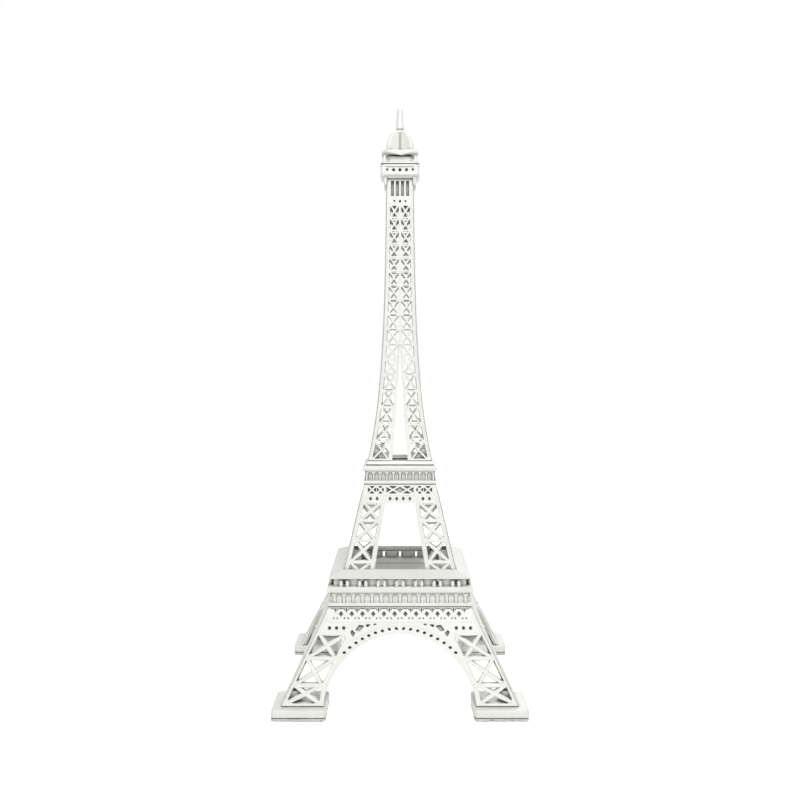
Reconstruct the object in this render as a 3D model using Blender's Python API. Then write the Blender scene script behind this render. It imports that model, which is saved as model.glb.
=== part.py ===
"""Miniature lattice tower, a die-cast metal souvenir 380 mm tall.

Three tiers, each of four flat castings that meet at mitred corners, stand on four
plinths. A gallery joins the lower and middle tiers, a platform joins the middle and
upper tiers, and a balcony, a cabin, a finned dome and an antenna close the top.
The tower is square in plan: a repeated piece is one mesh, turned about +Z.
Units are metres, +Z is up, and the origin is on the table under the middle.
"""

import math

import bmesh
import bpy
from mathutils import Matrix, Vector
from mathutils.geometry import delaunay_2d_cdt

MM = 0.001
GAP = 0.3 * MM  # between two pieces that rest on each other
SEAM = 0.22 * MM  # each casting stops this short of the mitre line
OVERCUT = 2.0 * MM  # how far a cutter runs past the surface that it opens
SMOOTH_ANGLE = math.radians(40)
FILL_WITH_HOLES = 2  # the output type of delaunay_2d_cdt that leaves holes open
FILL_TOLERANCE = 1e-7

SIDES = ("front", "right", "back", "left")
CORNERS = ("front_right", "back_right", "back_left", "front_left")

# Lower tier: half widths are measured from the axis to the outer face
LEG_HALF = 70.8 * MM
LEG_WIDTH = 25.7 * MM
LOWER_HEIGHT = 51.6 * MM
LOWER_PLATE = 2.0 * MM
LOWER_STRIP = 0.4 * MM  # from the inner corner of the leg to its openings
LOWER_BAR = 1.9 * MM
ARCH_RISE = 37.4 * MM
ARCH_POWER = 1.9
ARCH_STEPS = 28
LEG_SILL = 1.5 * MM
LEG_BAYS = (10.0 * MM, 13.8 * MM, 13.0 * MM)  # from the foot up
LEG_BAY_WIDTHS = (19.2 * MM, 16.1 * MM, 16.6 * MM, 16.8 * MM)  # at the crossbars of those bays
LEG_HOLES = 3
LEG_HOLE_RADIUS = 1.1 * MM
LEG_HOLE_SIDES = 8
LEG_HOLE_PITCH = 4.35 * MM
LEG_HOLE_RISE = 3.0 * MM  # above the top crossbar
LEG_HOLE_MARGIN = 7.1 * MM  # from the outer edge to the first hole

# Feet
PAD_HEIGHT = 2.2 * MM
PAD_INSET = 0.6 * MM
PLINTH_HEIGHT = 4.6 * MM
PLINTH_OVERHANG = 5.2 * MM
PLINTH_TOE = 1.6 * MM  # overhang on the two sides that face the arches
PLINTH_CORNER = 3.0 * MM

# Gallery between the lower and middle tiers
GALLERY_STEP = 7.0 * MM  # the lower tier's top is this much wider each way than the middle's foot
GALLERY_LIP = 0.3 * MM
GALLERY_LIP_HEIGHT = 2.0 * MM
ARCADE_SETBACK = 1.3 * MM
ARCADE_HEIGHT = 6.4 * MM
GALLERY_LEDGE = 0.9 * MM  # overhang past the lower tier
GALLERY_LEDGE_HEIGHT = 3.7 * MM
WINDOW_WALL_SETBACK = 2.3 * MM
WINDOW_WALL_HEIGHT = 4.5 * MM
WINDOW_WALL = 2.0 * MM
WINDOW_MARGIN = 1.5 * MM
WINDOW_COUNT = 7
WINDOW_WIDTH = 3.8 * MM
WINDOW_SILL = 0.3 * MM
WINDOW_HEIGHT = 3.6 * MM
DECK_THICKNESS = 2.6 * MM
DECK_SEAT = 2.5 * MM  # width of the ledge that carries a deck
TIER_SEAT = 1.2 * MM  # how far a deck runs in past the castings that stand on it
ROOF_EAVES = 2.4 * MM
ROOF_EDGE = 0.7 * MM
ROOF_RISE = 3.6 * MM
ROOF_SHELL = 1.4 * MM

# Middle tier
MIDDLE_FOOT_HALF = 37.5 * MM
MIDDLE_HEIGHT = 60.2 * MM
MIDDLE_PLATE = 2.0 * MM
MIDDLE_STRIP = 0.7 * MM
MIDDLE_BAR = 1.7 * MM
MIDDLE_INNER_BAR = 2.6 * MM
MIDDLE_FOOT_SPREAD = 17.4 * MM  # half of the opening between the legs, at the foot
MIDDLE_HEAD_SPREAD = 9.3 * MM
MIDDLE_BAYS = 4
MIDDLE_BAY_TAPER = 0.82  # height of the top bay over that of the bottom one
BELT_HEIGHT = 11.1 * MM
BELT_BAND = 5.0 * MM
BELT_BAR = 1.2 * MM

# Platform between the middle and upper tiers
PLATFORM_STEP = 2.4 * MM  # the middle tier's top is this much wider each way than the upper's foot
PLATFORM_LIP = 0.3 * MM
PLATFORM_LIP_HEIGHT = 2.3 * MM
PLATFORM_WALL_SETBACK = 0.7 * MM
PLATFORM_WALL_HEIGHT = 6.0 * MM
PLATFORM_WALL = 2.6 * MM
CORNICE = 1.4 * MM
CORNICE_HEIGHT = 3.5 * MM
CORNICE_EDGE = 0.9 * MM
SLAB_MARGIN = 1.2 * MM
SLAB_HEIGHT = 2.4 * MM

# Upper tier
UPPER_FOOT_HALF = 21.0 * MM
UPPER_TOP_HALF = 9.0 * MM
UPPER_HEIGHT = 184.0 * MM
UPPER_FLARE = 52.0 * MM  # height over which the flare of the foot falls by a factor e
UPPER_PLATE = 1.7 * MM
UPPER_STRIP = 0.8 * MM
UPPER_BAR = 1.05 * MM
UPPER_BAYS = 17
UPPER_BAY_TAPER = 0.74
UPPER_SPLIT_BAYS = 7  # the two legs of a face join at the top of this bay
UPPER_SPLIT_HALF = 4.9 * MM
UPPER_SPLIT_TIP = 0.45 * MM
UPPER_SPLIT_CURVE = 1.2
UPPER_INNER_BAR = 2.6 * MM
UPPER_CENTRE_BAR = 1.7 * MM
GRILLE_HEIGHT = 17.0 * MM
GRILLE_SILL = 5.6 * MM
GRILLE_HEAD = 1.3 * MM
GRILLE_SLOTS = 4
GRILLE_STILE = 2.4 * MM
GRILLE_BAR = 1.3 * MM

# Balcony, cabin, dome and antenna
BALCONY_OVERHANG = 3.9 * MM
BALCONY_HEIGHT = 9.0 * MM
BALCONY_WALL = 1.6 * MM
BALCONY_FLOOR = 2.2 * MM
PORT_COUNT = 5
PORT_MARGIN = 2.4 * MM
PORT_WIDTH = 2.3 * MM
PORT_HEIGHT = 3.2 * MM
PORT_SILL = 3.5 * MM  # from the balcony's underside
SPIGOT_LENGTH = 1.8 * MM
CABIN_SETBACK = 4.5 * MM
CABIN_DECK = 1.2 * MM
CABIN_HEIGHT = 4.2 * MM
CAP_OVERHANG = 3.0 * MM
CAP_HEIGHT = 4.0 * MM
CAP_EDGE = 0.9 * MM
DOME_MARGIN = 2.0 * MM
DOME_HEIGHT = 15.0 * MM
DOME_STEPS = 16
FIN_THICKNESS = 2.8 * MM
FIN_DROP = 0.4 * MM  # the fins end this far below the top of the hub
FIN_SINK = 1.0 * MM  # how far the fins run down into the cap
HUB_RADIUS = 3.1 * MM
ANTENNA_HEIGHT = 14.4 * MM
ANTENNA_FOOT_RADIUS = 2.7 * MM
ANTENNA_TIP_RADIUS = 1.7 * MM
ANTENNA_TIP = 1.2 * MM
STEM_RADIUS = 1.1 * MM
NUT_RADIUS = 3.0 * MM
NUT_HEIGHT = 1.8 * MM
STEM_END = 0.6 * MM  # how far the stem runs on below the nut

# Corner fastenings: a screw comes up through a deck or plinth into a block in the corner above it
SCREW_RADIUS = 1.2 * MM
HEAD_RADIUS = 2.2 * MM
HEAD_HEIGHT = 1.5 * MM
BLOCK_SIZE = 6.4 * MM
BLOCK_HEIGHT = 7.0 * MM
SCREW_END = 1.0 * MM  # how far a screw stops short of the top of its block
ROUND_SIDES = 12
CORNER_STEPS = 3

# Levels, from the table up
PLINTH_Z = PAD_HEIGHT + GAP
LOWER_Z = PLINTH_Z + PLINTH_HEIGHT + GAP
GALLERY_Z = LOWER_Z + LOWER_HEIGHT + GAP
ARCADE_Z = GALLERY_Z + GALLERY_LIP_HEIGHT
GALLERY_LEDGE_Z = ARCADE_Z + ARCADE_HEIGHT
WINDOW_Z = GALLERY_LEDGE_Z + GALLERY_LEDGE_HEIGHT
ROOF_Z = WINDOW_Z + WINDOW_WALL_HEIGHT + GAP
MIDDLE_Z = WINDOW_Z + GAP
BELT_Z = MIDDLE_Z + MIDDLE_HEIGHT - BELT_HEIGHT
PLATFORM_Z = MIDDLE_Z + MIDDLE_HEIGHT + GAP
CORNICE_Z = PLATFORM_Z + PLATFORM_LIP_HEIGHT + PLATFORM_WALL_HEIGHT
SLAB_Z = CORNICE_Z + CORNICE_HEIGHT + GAP
UPPER_Z = SLAB_Z + SLAB_HEIGHT + GAP
UPPER_TOP_Z = UPPER_Z + UPPER_HEIGHT
BALCONY_Z = UPPER_TOP_Z + GAP
CABIN_Z = BALCONY_Z + BALCONY_HEIGHT + GAP
CAP_Z = CABIN_Z + CABIN_DECK + CABIN_HEIGHT + GAP
DOME_Z = CAP_Z + CAP_HEIGHT
ANTENNA_Z = DOME_Z + DOME_HEIGHT + GAP

# Half widths that follow from the ones above
LOWER_TOP_HALF = MIDDLE_FOOT_HALF + GALLERY_STEP
MIDDLE_TOP_HALF = UPPER_FOOT_HALF + PLATFORM_STEP
ARCADE_HALF = LOWER_TOP_HALF - ARCADE_SETBACK
WINDOW_WALL_HALF = LOWER_TOP_HALF - WINDOW_WALL_SETBACK
GALLERY_INNER_HALF = WINDOW_WALL_HALF - WINDOW_WALL
PLATFORM_WALL_HALF = MIDDLE_TOP_HALF - PLATFORM_WALL_SETBACK
CORNICE_HALF = PLATFORM_WALL_HALF + CORNICE
BALCONY_HALF = UPPER_TOP_HALF + BALCONY_OVERHANG
CABIN_HALF = BALCONY_HALF - CABIN_SETBACK
CAP_HALF = CABIN_HALF + CAP_OVERHANG

PAINT = ("white_paint", (0.86, 0.86, 0.83, 1.0), 0.45, 0.0)
FOAM = ("pad_foam", (0.80, 0.79, 0.75, 1.0), 0.9, 0.0)
STEEL = ("zinc_steel", (0.62, 0.62, 0.64, 1.0), 0.35, 1.0)


def between(low, high, share):
    """The value at a share of the way from low to high."""
    return low + (high - low) * share


def lower_half(z):
    """Half width of the lower tier at height z."""
    return between(LEG_HALF, LOWER_TOP_HALF, (z - LOWER_Z) / LOWER_HEIGHT)


def middle_half(z):
    """Half width of the middle tier at height z."""
    return between(MIDDLE_FOOT_HALF, MIDDLE_TOP_HALF, (z - MIDDLE_Z) / MIDDLE_HEIGHT)


def upper_half(z):
    """Half width of the upper tier at height z: its foot flares out along an exponential curve."""
    fall = math.exp(-(z - UPPER_Z) / UPPER_FLARE)
    least = math.exp(-UPPER_HEIGHT / UPPER_FLARE)
    return between(UPPER_TOP_HALF, UPPER_FOOT_HALF, (fall - least) / (1 - least))


# --- Flat patterns: closed loops of (across, up) points -----------------------------------


def mirrored(loop):
    """The same loop on the other side of the middle line."""
    return [(-u, v) for u, v in reversed(loop)]


def rectangle(left, right, low, high):
    """A rectangle, from its lower left corner round."""
    return [(left, low), (right, low), (right, high), (left, high)]


def circle(u, v, radius, sides=ROUND_SIDES):
    """A round loop about (u, v)."""
    turns = [2 * math.pi * (k + 0.5) / sides for k in range(sides)]
    return [(u + radius * math.cos(turn), v + radius * math.sin(turn)) for turn in turns]


def inset(corners, widths):
    """A convex polygon with each side moved inwards by its own width."""
    after = corners[1:] + corners[:1]
    area = sum(a[0] * b[1] - b[0] * a[1] for a, b in zip(corners, after))
    sides = []
    for start, end, width in zip(corners, after, widths):
        along = (Vector(end) - Vector(start)).normalized()
        inwards = Vector((-along.y, along.x)) * math.copysign(width, area)
        sides.append((Vector(start) + inwards, along))
    points = []
    for (p, d), (q, e) in zip(sides[-1:] + sides[:-1], sides):
        share = (q - p).cross(e) / d.cross(e)
        points.append(tuple(p + d * share))
    return points


def braced_bay(corners, rails, bar):
    """The four triangles that two crossed bars leave in a bay.

    The corners run round the bay, and rails says how far each side's own bar reaches into it.
    """
    a, b, c, d = (Vector(corner) for corner in corners)
    crossing = a + (c - a) * ((b - a).cross(d - b) / (c - a).cross(d - b))
    after = corners[1:] + corners[:1]
    return [
        inset([start, end, tuple(crossing)], [rail, bar / 2, bar / 2])
        for start, end, rail in zip(corners, after, rails)
    ]


def braced_column(levels, inner, outer, bar):
    """The openings of a column of braced bays between the side lines inner(z) and outer(z)."""
    holes = []
    for low, high in zip(levels, levels[1:]):
        corners = [(inner(low), low), (outer(low), low), (outer(high), high), (inner(high), high)]
        holes += braced_bay(corners, (bar / 2, 0, bar / 2, 0), bar)
    return holes


def running_levels(start, steps):
    """The start, and the level at the end of each step."""
    levels = [start]
    for step in steps:
        levels.append(levels[-1] + step)
    return levels


def both_sides(holes):
    """The holes and their mirror images."""
    return holes + [mirrored(hole) for hole in holes]


def arch_curve():
    """The arch of a lower face, from its right spring to its left one: a superellipse."""
    half_span = LEG_HALF - LEG_WIDTH
    points = []
    for step in range(ARCH_STEPS + 1):
        turn = math.pi * step / ARCH_STEPS
        across = math.copysign(abs(math.cos(turn)) ** (2 / ARCH_POWER), math.cos(turn))
        rise = math.sin(turn) ** (2 / ARCH_POWER) if 0 < step < ARCH_STEPS else 0.0
        points.append((half_span * across, LOWER_Z + ARCH_RISE * rise))
    return points


def lower_pattern():
    """Two braced legs, joined by the arch and the belt over it."""
    top = LOWER_Z + LOWER_HEIGHT
    foot_half, top_half = LEG_HALF - SEAM, LOWER_TOP_HALF - SEAM
    outline = [(foot_half, LOWER_Z), (top_half, top), (-top_half, top), (-foot_half, LOWER_Z)]
    outline += reversed(arch_curve())
    levels = running_levels(LOWER_Z + LEG_SILL - LOWER_BAR / 2, LEG_BAYS)

    def outer(z):
        return lower_half(z) - LOWER_PLATE - SEAM - LOWER_STRIP

    holes = []
    for low, high, foot, head in zip(levels, levels[1:], LEG_BAY_WIDTHS, LEG_BAY_WIDTHS[1:]):
        right, left = (outer(low), low), (outer(high) - head, high)
        corners = [(outer(low) - foot, low), right, (outer(high), high), left]
        holes += braced_bay(corners, (LOWER_BAR / 2, 0, LOWER_BAR / 2, 0), LOWER_BAR)
    row = levels[-1] + LEG_HOLE_RISE
    for k in range(LEG_HOLES):
        across = lower_half(row) - LEG_HOLE_MARGIN - k * LEG_HOLE_PITCH
        holes.append(circle(across, row, LEG_HOLE_RADIUS, LEG_HOLE_SIDES))
    return outline, both_sides(holes)


def tapered_levels(start, end, count, taper):
    """Heights of the crossbars between two levels: each bay is a little lower than the one below."""
    shares = [between(1, taper, bay / (count - 1)) for bay in range(count)]
    return running_levels(start, [(end - start) * share / sum(shares) for share in shares])


def middle_pattern():
    """Two braced legs under a braced belt."""
    top = MIDDLE_Z + MIDDLE_HEIGHT
    right = [
        (MIDDLE_HEAD_SPREAD, BELT_Z),
        (MIDDLE_FOOT_SPREAD, MIDDLE_Z),
        (MIDDLE_FOOT_HALF - SEAM, MIDDLE_Z),
        (MIDDLE_TOP_HALF - SEAM, top),
    ]

    def inner(z):
        share = (z - MIDDLE_Z) / (BELT_Z - MIDDLE_Z)
        return between(MIDDLE_FOOT_SPREAD, MIDDLE_HEAD_SPREAD, share) + MIDDLE_INNER_BAR

    def outer(z):
        return middle_half(z) - MIDDLE_PLATE - SEAM - MIDDLE_STRIP

    half_bar = MIDDLE_BAR / 2
    levels = tapered_levels(MIDDLE_Z + half_bar, BELT_Z + half_bar, MIDDLE_BAYS, MIDDLE_BAY_TAPER)
    holes = braced_column(levels, inner, outer, MIDDLE_BAR)
    low, high = BELT_Z + BELT_BAND, top - BELT_BAR
    post = MIDDLE_HEAD_SPREAD
    middle = (post + outer(high)) / 2
    for start, end in ((0, post), (post, middle), (middle, outer(high))):
        holes += braced_bay(rectangle(start, end, low, high), [BELT_BAR / 2] * 4, BELT_BAR)
    return right + mirrored(right), both_sides(holes)


def upper_pattern():
    """Two braced legs that lean together and become one braced mast, with a grille at its head."""
    half_bar = UPPER_BAR / 2
    braced_top = UPPER_TOP_Z - GRILLE_HEIGHT
    levels = tapered_levels(UPPER_Z + half_bar, braced_top, UPPER_BAYS, UPPER_BAY_TAPER)
    split_z = levels[UPPER_SPLIT_BAYS]

    def split(z):
        share = (split_z - z) / (split_z - UPPER_Z)
        return between(UPPER_SPLIT_TIP, UPPER_SPLIT_HALF, share**UPPER_SPLIT_CURVE)

    def inner(z):
        if z >= split_z:
            return UPPER_CENTRE_BAR / 2
        share = (z - UPPER_Z) / (split_z - UPPER_Z)
        return split(z) + between(UPPER_INNER_BAR, UPPER_CENTRE_BAR / 2, share)

    def outer(z):
        return upper_half(z) - UPPER_PLATE - SEAM - UPPER_STRIP

    slot = [(split(z), z) for z in [UPPER_Z] + levels[1:UPPER_SPLIT_BAYS]]
    slot.append((UPPER_SPLIT_TIP, split_z - half_bar))
    edge = [(upper_half(z) - SEAM, z) for z in [UPPER_Z] + levels[1:] + [UPPER_TOP_Z]]
    right = slot[::-1] + edge
    holes = braced_column(levels, inner, outer, UPPER_BAR)
    pitch = 2 * (UPPER_TOP_HALF - GRILLE_STILE) / GRILLE_SLOTS
    slot_half = (pitch - GRILLE_BAR) / 2
    for k in range(GRILLE_SLOTS // 2):
        middle = (k + 0.5) * pitch
        low, high = braced_top + GRILLE_SILL, UPPER_TOP_Z - GRILLE_HEAD
        holes.append(rectangle(middle - slot_half, middle + slot_half, low, high))
    return right + mirrored(right), both_sides(holes)


# --- Solids --------------------------------------------------------------------------------


def make_object(name, bm, material):
    """A named object from a closed bmesh, which it frees."""
    bmesh.ops.recalc_face_normals(bm, faces=bm.faces)
    mesh = bpy.data.meshes.new(name)
    bm.to_mesh(mesh)
    bm.free()
    mesh.materials.append(material)
    mesh.shade_smooth()
    mesh.set_sharp_from_angle(angle=SMOOTH_ANGLE)
    return place_mesh(name, mesh, 0)


def place_mesh(name, mesh, quarter):
    """An object that shows the mesh turned by a number of quarter turns about +Z."""
    piece = bpy.data.objects.new(name, mesh)
    piece.rotation_euler.z = quarter * math.pi / 2
    bpy.context.collection.objects.link(piece)
    return piece


def repeat(piece, base, names):
    """Name the piece after the first of the names, and add a turned copy for each other one."""
    piece.name = f"{base}_{names[0]}"
    for quarter, name in enumerate(names[1:], 1):
        place_mesh(f"{base}_{name}", piece.data, quarter)


def plate(outline, holes, thickness, place):
    """A closed plate: the outline less the holes, carried into space by place(u, v, depth)."""
    points, loops = [], []
    for loop in [outline] + holes:
        loops.append(range(len(points), len(points) + len(loop)))
        points += [Vector(point) for point in loop]
    filled = delaunay_2d_cdt(points, [], loops, FILL_WITH_HOLES, FILL_TOLERANCE)
    flat_points, triangles = filled[0], filled[2]
    bm = bmesh.new()
    verts = [bm.verts.new((point.x, point.y, 0)) for point in flat_points]
    for triangle in triangles:
        bm.faces.new([verts[index] for index in triangle])
    extruded = bmesh.ops.extrude_face_region(bm, geom=bm.faces[:])["geom"]
    back = [item for item in extruded if isinstance(item, bmesh.types.BMVert)]
    bmesh.ops.translate(bm, vec=(0, 0, thickness), verts=back)
    for vert in bm.verts:
        vert.co = place(*vert.co)
    return bm


def upright(z):
    """Place a plan drawn in (x, y), with its thickness running up from z."""

    def place(x, y, depth):
        return Vector((x, y, z + depth))

    return place


def across_corners(side):
    """Place a plate drawn in (across, z) upright on one of the two diagonals of the plan."""

    def place(u, z, depth):
        across = depth - FIN_THICKNESS / 2
        return Vector((u - side * across, side * u + across, z * math.sqrt(2))) / math.sqrt(2)

    return place


def leaning(half):
    """Place a front face drawn in (across, z), leaning along half(z) and mitred at its two edges."""

    def place(u, z, depth):
        reach = half(z) - depth - SEAM
        return Vector((math.copysign(min(abs(u), reach), u), depth - half(z), z))

    return place


def square_solid(profile, hollow=False):
    """A solid of square plan from (half width, z) points.

    The points run up the outside. A hollow one closes on itself as a ring, and another is
    capped at both ends.
    """
    bm = bmesh.new()
    corners = ((1, -1), (1, 1), (-1, 1), (-1, -1))
    loops = [[bm.verts.new((x * half, y * half, z)) for x, y in corners] for half, z in profile]
    pairs = list(zip(loops, loops[1:]))
    if hollow:
        pairs.append((loops[-1], loops[0]))
    else:
        bm.faces.new(loops[0])
        bm.faces.new(loops[-1])
    for low, high in pairs:
        for k in range(4):
            bm.faces.new((low[k - 1], low[k], high[k], high[k - 1]))
    return bm


def turned(profile, x=0.0, y=0.0, sides=ROUND_SIDES):
    """A round solid about a vertical axis from (radius, z) points, capped at both ends."""
    bm = bmesh.new()
    loops = [[bm.verts.new((u, v, z)) for u, v in circle(x, y, radius, sides)] for radius, z in profile]
    bm.faces.new(loops[0])
    bm.faces.new(loops[-1])
    for low, high in zip(loops, loops[1:]):
        for k in range(sides):
            bm.faces.new((low[k - 1], low[k], high[k], high[k - 1]))
    return bm


def add_box(bm, low, high):
    """Add a box between two corners to a bmesh."""
    size = Vector(high) - Vector(low)
    middle = (Vector(high) + Vector(low)) / 2
    bmesh.ops.create_cube(bm, size=1, matrix=Matrix.Translation(middle) @ Matrix.Diagonal(size).to_4x4())


def boolean(piece, tool, operation):
    """Cut a piece with a tool, or join the tool to it."""
    tool.hide_render = True
    tool.display_type = "WIRE"
    modifier = piece.modifiers.new(tool.name, "BOOLEAN")
    modifier.operation = operation
    modifier.object = tool


def row_centres(half, margin, count):
    """Centres of equal bays along a wall, and the pitch between them."""
    pitch = 2 * (half - margin) / count
    return [(k - (count - 1) / 2) * pitch for k in range(count)]


def wall_cutters(name, centres, size, half, material):
    """Boxes that run through both pairs of opposite walls, one object for each direction.

    The size holds their width and their lowest and highest levels.
    """
    width, low, high = size
    cutters = []
    reach = half + OVERCUT
    for turn, direction in enumerate("xy"):
        bm = bmesh.new()
        for centre in centres:
            add_box(bm, (centre - width / 2, -reach, low), (centre + width / 2, reach, high))
        cutter = make_object(f"{name}_along_{direction}", bm, material)
        cutter.rotation_euler.z = turn * math.pi / 2
        cutters.append(cutter)
    return cutters


# --- Pieces --------------------------------------------------------------------------------


def principled(name, colour, roughness, metallic):
    """A material of one colour."""
    material = bpy.data.materials.new(name)
    material.use_nodes = True
    shader = material.node_tree.nodes["Principled BSDF"]
    shader.inputs["Base Color"].default_value = colour
    shader.inputs["Roughness"].default_value = roughness
    shader.inputs["Metallic"].default_value = metallic
    return material


def tier(name, pattern, thickness, half, paint):
    """The four castings of a tier, named after their sides."""
    outline, holes = pattern
    face = make_object(name, plate(outline, holes, thickness, leaning(half)), paint)
    repeat(face, name, SIDES)


def fastening(name, half, thickness, foot_z, deck_z, paint, steel):
    """Four corner blocks inside the feet of a tier, and the screws that come up into them.

    The castings stand at foot_z, and the deck or plinth that the screws hold starts at deck_z.
    """
    outer = half(foot_z + BLOCK_HEIGHT) - thickness - GAP
    axis = outer - BLOCK_SIZE / 2
    block = rectangle(outer - BLOCK_SIZE, outer, -outer, BLOCK_SIZE - outer)
    hole = circle(axis, -axis, SCREW_RADIUS + GAP)
    solid = plate(block, [hole], BLOCK_HEIGHT, upright(foot_z))
    repeat(make_object(name, solid, paint), f"{name}_block", CORNERS)
    head_z = deck_z - GAP - HEAD_HEIGHT
    profile = [(HEAD_RADIUS, head_z), (HEAD_RADIUS, head_z + HEAD_HEIGHT)]
    profile += [(SCREW_RADIUS, head_z + HEAD_HEIGHT), (SCREW_RADIUS, foot_z + BLOCK_HEIGHT - SCREW_END)]
    repeat(make_object(name, turned(profile, axis, -axis), steel), f"{name}_screw", CORNERS)
    return axis


def plinth_plan(margin):
    """The plan of the front right plinth with round corners, less a margin all round."""
    low = LEG_HALF - LEG_WIDTH - PLINTH_TOE + margin + PLINTH_CORNER
    high = LEG_HALF + PLINTH_OVERHANG - margin - PLINTH_CORNER
    points = []
    for quarter, (x, y) in enumerate(((high, -low), (low, -low), (low, -high), (high, -high))):
        for step in range(CORNER_STEPS + 1):
            turn = (quarter + step / CORNER_STEPS) * math.pi / 2
            points.append((x + PLINTH_CORNER * math.cos(turn), y + PLINTH_CORNER * math.sin(turn)))
    return points


def feet(screw_axis, paint, foam):
    """The plinths and the pads under them, with holes for the screws and their heads."""
    hole = circle(screw_axis, -screw_axis, SCREW_RADIUS + GAP)
    solid = plate(plinth_plan(0.0), [hole], PLINTH_HEIGHT, upright(PLINTH_Z))
    repeat(make_object("plinth", solid, paint), "foot_plinth", CORNERS)
    hole = circle(screw_axis, -screw_axis, HEAD_RADIUS + GAP)
    solid = plate(plinth_plan(PAD_INSET), [hole], PAD_HEIGHT, upright(0.0))
    repeat(make_object("pad", solid, foam), "foot_pad", CORNERS)


def deck(name, half, z, thickness, opening, screw_axis, paint):
    """A square deck with an eight-sided opening, and screw holes in the corners that are left."""
    cut = 2 * (screw_axis - BLOCK_SIZE / 2) - opening
    octagon = [(opening, -cut), (opening, cut), (cut, opening), (-cut, opening)]
    octagon += [(-u, -v) for u, v in octagon]
    holes = [octagon]
    for x in (-screw_axis, screw_axis):
        for y in (-screw_axis, screw_axis):
            holes.append(circle(x, y, SCREW_RADIUS + GAP))
    make_object(name, plate(rectangle(-half, half, -half, half), holes, thickness, upright(z)), paint)


def gallery(screw_axis, paint):
    """The arcade and windowed wall round the gallery, its deck and its hipped roof."""
    lip_half = LOWER_TOP_HALF + GALLERY_LIP
    ledge_half = LOWER_TOP_HALF + GALLERY_LEDGE
    seat_half = GALLERY_INNER_HALF - DECK_SEAT
    deck_z = WINDOW_Z - DECK_THICKNESS
    profile = [
        (lip_half, GALLERY_Z),
        (lip_half, ARCADE_Z),
        (ARCADE_HALF, ARCADE_Z),
        (ARCADE_HALF, GALLERY_LEDGE_Z),
        (ledge_half, GALLERY_LEDGE_Z),
        (ledge_half, WINDOW_Z),
        (WINDOW_WALL_HALF, WINDOW_Z),
        (WINDOW_WALL_HALF, ROOF_Z - GAP),
        (GALLERY_INNER_HALF, ROOF_Z - GAP),
        (GALLERY_INNER_HALF, deck_z - GAP),
        (seat_half, deck_z - GAP),
        (seat_half, GALLERY_Z),
    ]
    frame = make_object("gallery_frame", square_solid(profile, hollow=True), paint)
    low = WINDOW_Z + WINDOW_SILL
    centres = row_centres(WINDOW_WALL_HALF, WINDOW_MARGIN, WINDOW_COUNT)
    size = (WINDOW_WIDTH, low, low + WINDOW_HEIGHT)
    for cutter in wall_cutters("windows", centres, size, WINDOW_WALL_HALF, paint):
        boolean(frame, cutter, "DIFFERENCE")
    opening = MIDDLE_FOOT_HALF - MIDDLE_PLATE - TIER_SEAT
    deck("gallery_deck", GALLERY_INNER_HALF - GAP, deck_z, DECK_THICKNESS, opening, screw_axis, paint)
    eaves_half = WINDOW_WALL_HALF + ROOF_EAVES
    slope_z = ROOF_Z + ROOF_EDGE
    top = slope_z + ROOF_RISE
    collar = middle_half(top - ROOF_SHELL) + GAP
    profile = [
        (eaves_half, ROOF_Z),
        (eaves_half, slope_z),
        (collar, top),
        (collar, top - ROOF_SHELL),
        (GALLERY_INNER_HALF, ROOF_Z),
    ]
    make_object("gallery_roof", square_solid(profile, hollow=True), paint)


def platform(screw_axis, paint):
    """The wall and cornice under the upper tier, and the slab that carries it."""
    lip_half = MIDDLE_TOP_HALF + PLATFORM_LIP
    inner_half = PLATFORM_WALL_HALF - PLATFORM_WALL
    wall_z = PLATFORM_Z + PLATFORM_LIP_HEIGHT
    top = SLAB_Z - GAP
    profile = [
        (lip_half, PLATFORM_Z),
        (lip_half, wall_z),
        (PLATFORM_WALL_HALF, wall_z),
        (PLATFORM_WALL_HALF, CORNICE_Z),
        (CORNICE_HALF - CORNICE_EDGE, CORNICE_Z),
        (CORNICE_HALF, CORNICE_Z + CORNICE_EDGE),
        (CORNICE_HALF, top - CORNICE_EDGE),
        (CORNICE_HALF - CORNICE_EDGE, top),
        (inner_half, top),
        (inner_half, PLATFORM_Z),
    ]
    make_object("platform_frame", square_solid(profile, hollow=True), paint)
    half = CORNICE_HALF - CORNICE_EDGE - SLAB_MARGIN
    opening = UPPER_FOOT_HALF - UPPER_PLATE - TIER_SEAT
    deck("platform_slab", half, SLAB_Z, SLAB_HEIGHT, opening, screw_axis, paint)


def balcony(paint):
    """A box with ports in its walls, open at the top, and a spigot down into the upper tier."""
    spigot_half = UPPER_TOP_HALF - UPPER_PLATE - GAP
    inner_half = BALCONY_HALF - BALCONY_WALL
    profile = [
        (spigot_half, BALCONY_Z - SPIGOT_LENGTH),
        (spigot_half, BALCONY_Z),
        (BALCONY_HALF, BALCONY_Z),
        (BALCONY_HALF, BALCONY_Z + BALCONY_HEIGHT),
        (inner_half, BALCONY_Z + BALCONY_HEIGHT),
        (inner_half, BALCONY_Z + BALCONY_FLOOR),
    ]
    box = make_object("balcony", square_solid(profile), paint)
    low = BALCONY_Z + PORT_SILL
    centres = row_centres(BALCONY_HALF, PORT_MARGIN, PORT_COUNT)
    size = (PORT_WIDTH, low, low + PORT_HEIGHT)
    for cutter in wall_cutters("ports", centres, size, BALCONY_HALF, paint):
        boolean(box, cutter, "DIFFERENCE")


def half_ellipse(reach, base, height):
    """The outline of a dome fin, standing on the level base."""
    turns = [math.pi * step / DOME_STEPS for step in range(DOME_STEPS + 1)]
    arc = [(reach * math.cos(turn), base + height * math.sin(turn)) for turn in turns]
    return [(-reach, base - FIN_SINK), (reach, base - FIN_SINK)] + arc


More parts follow.
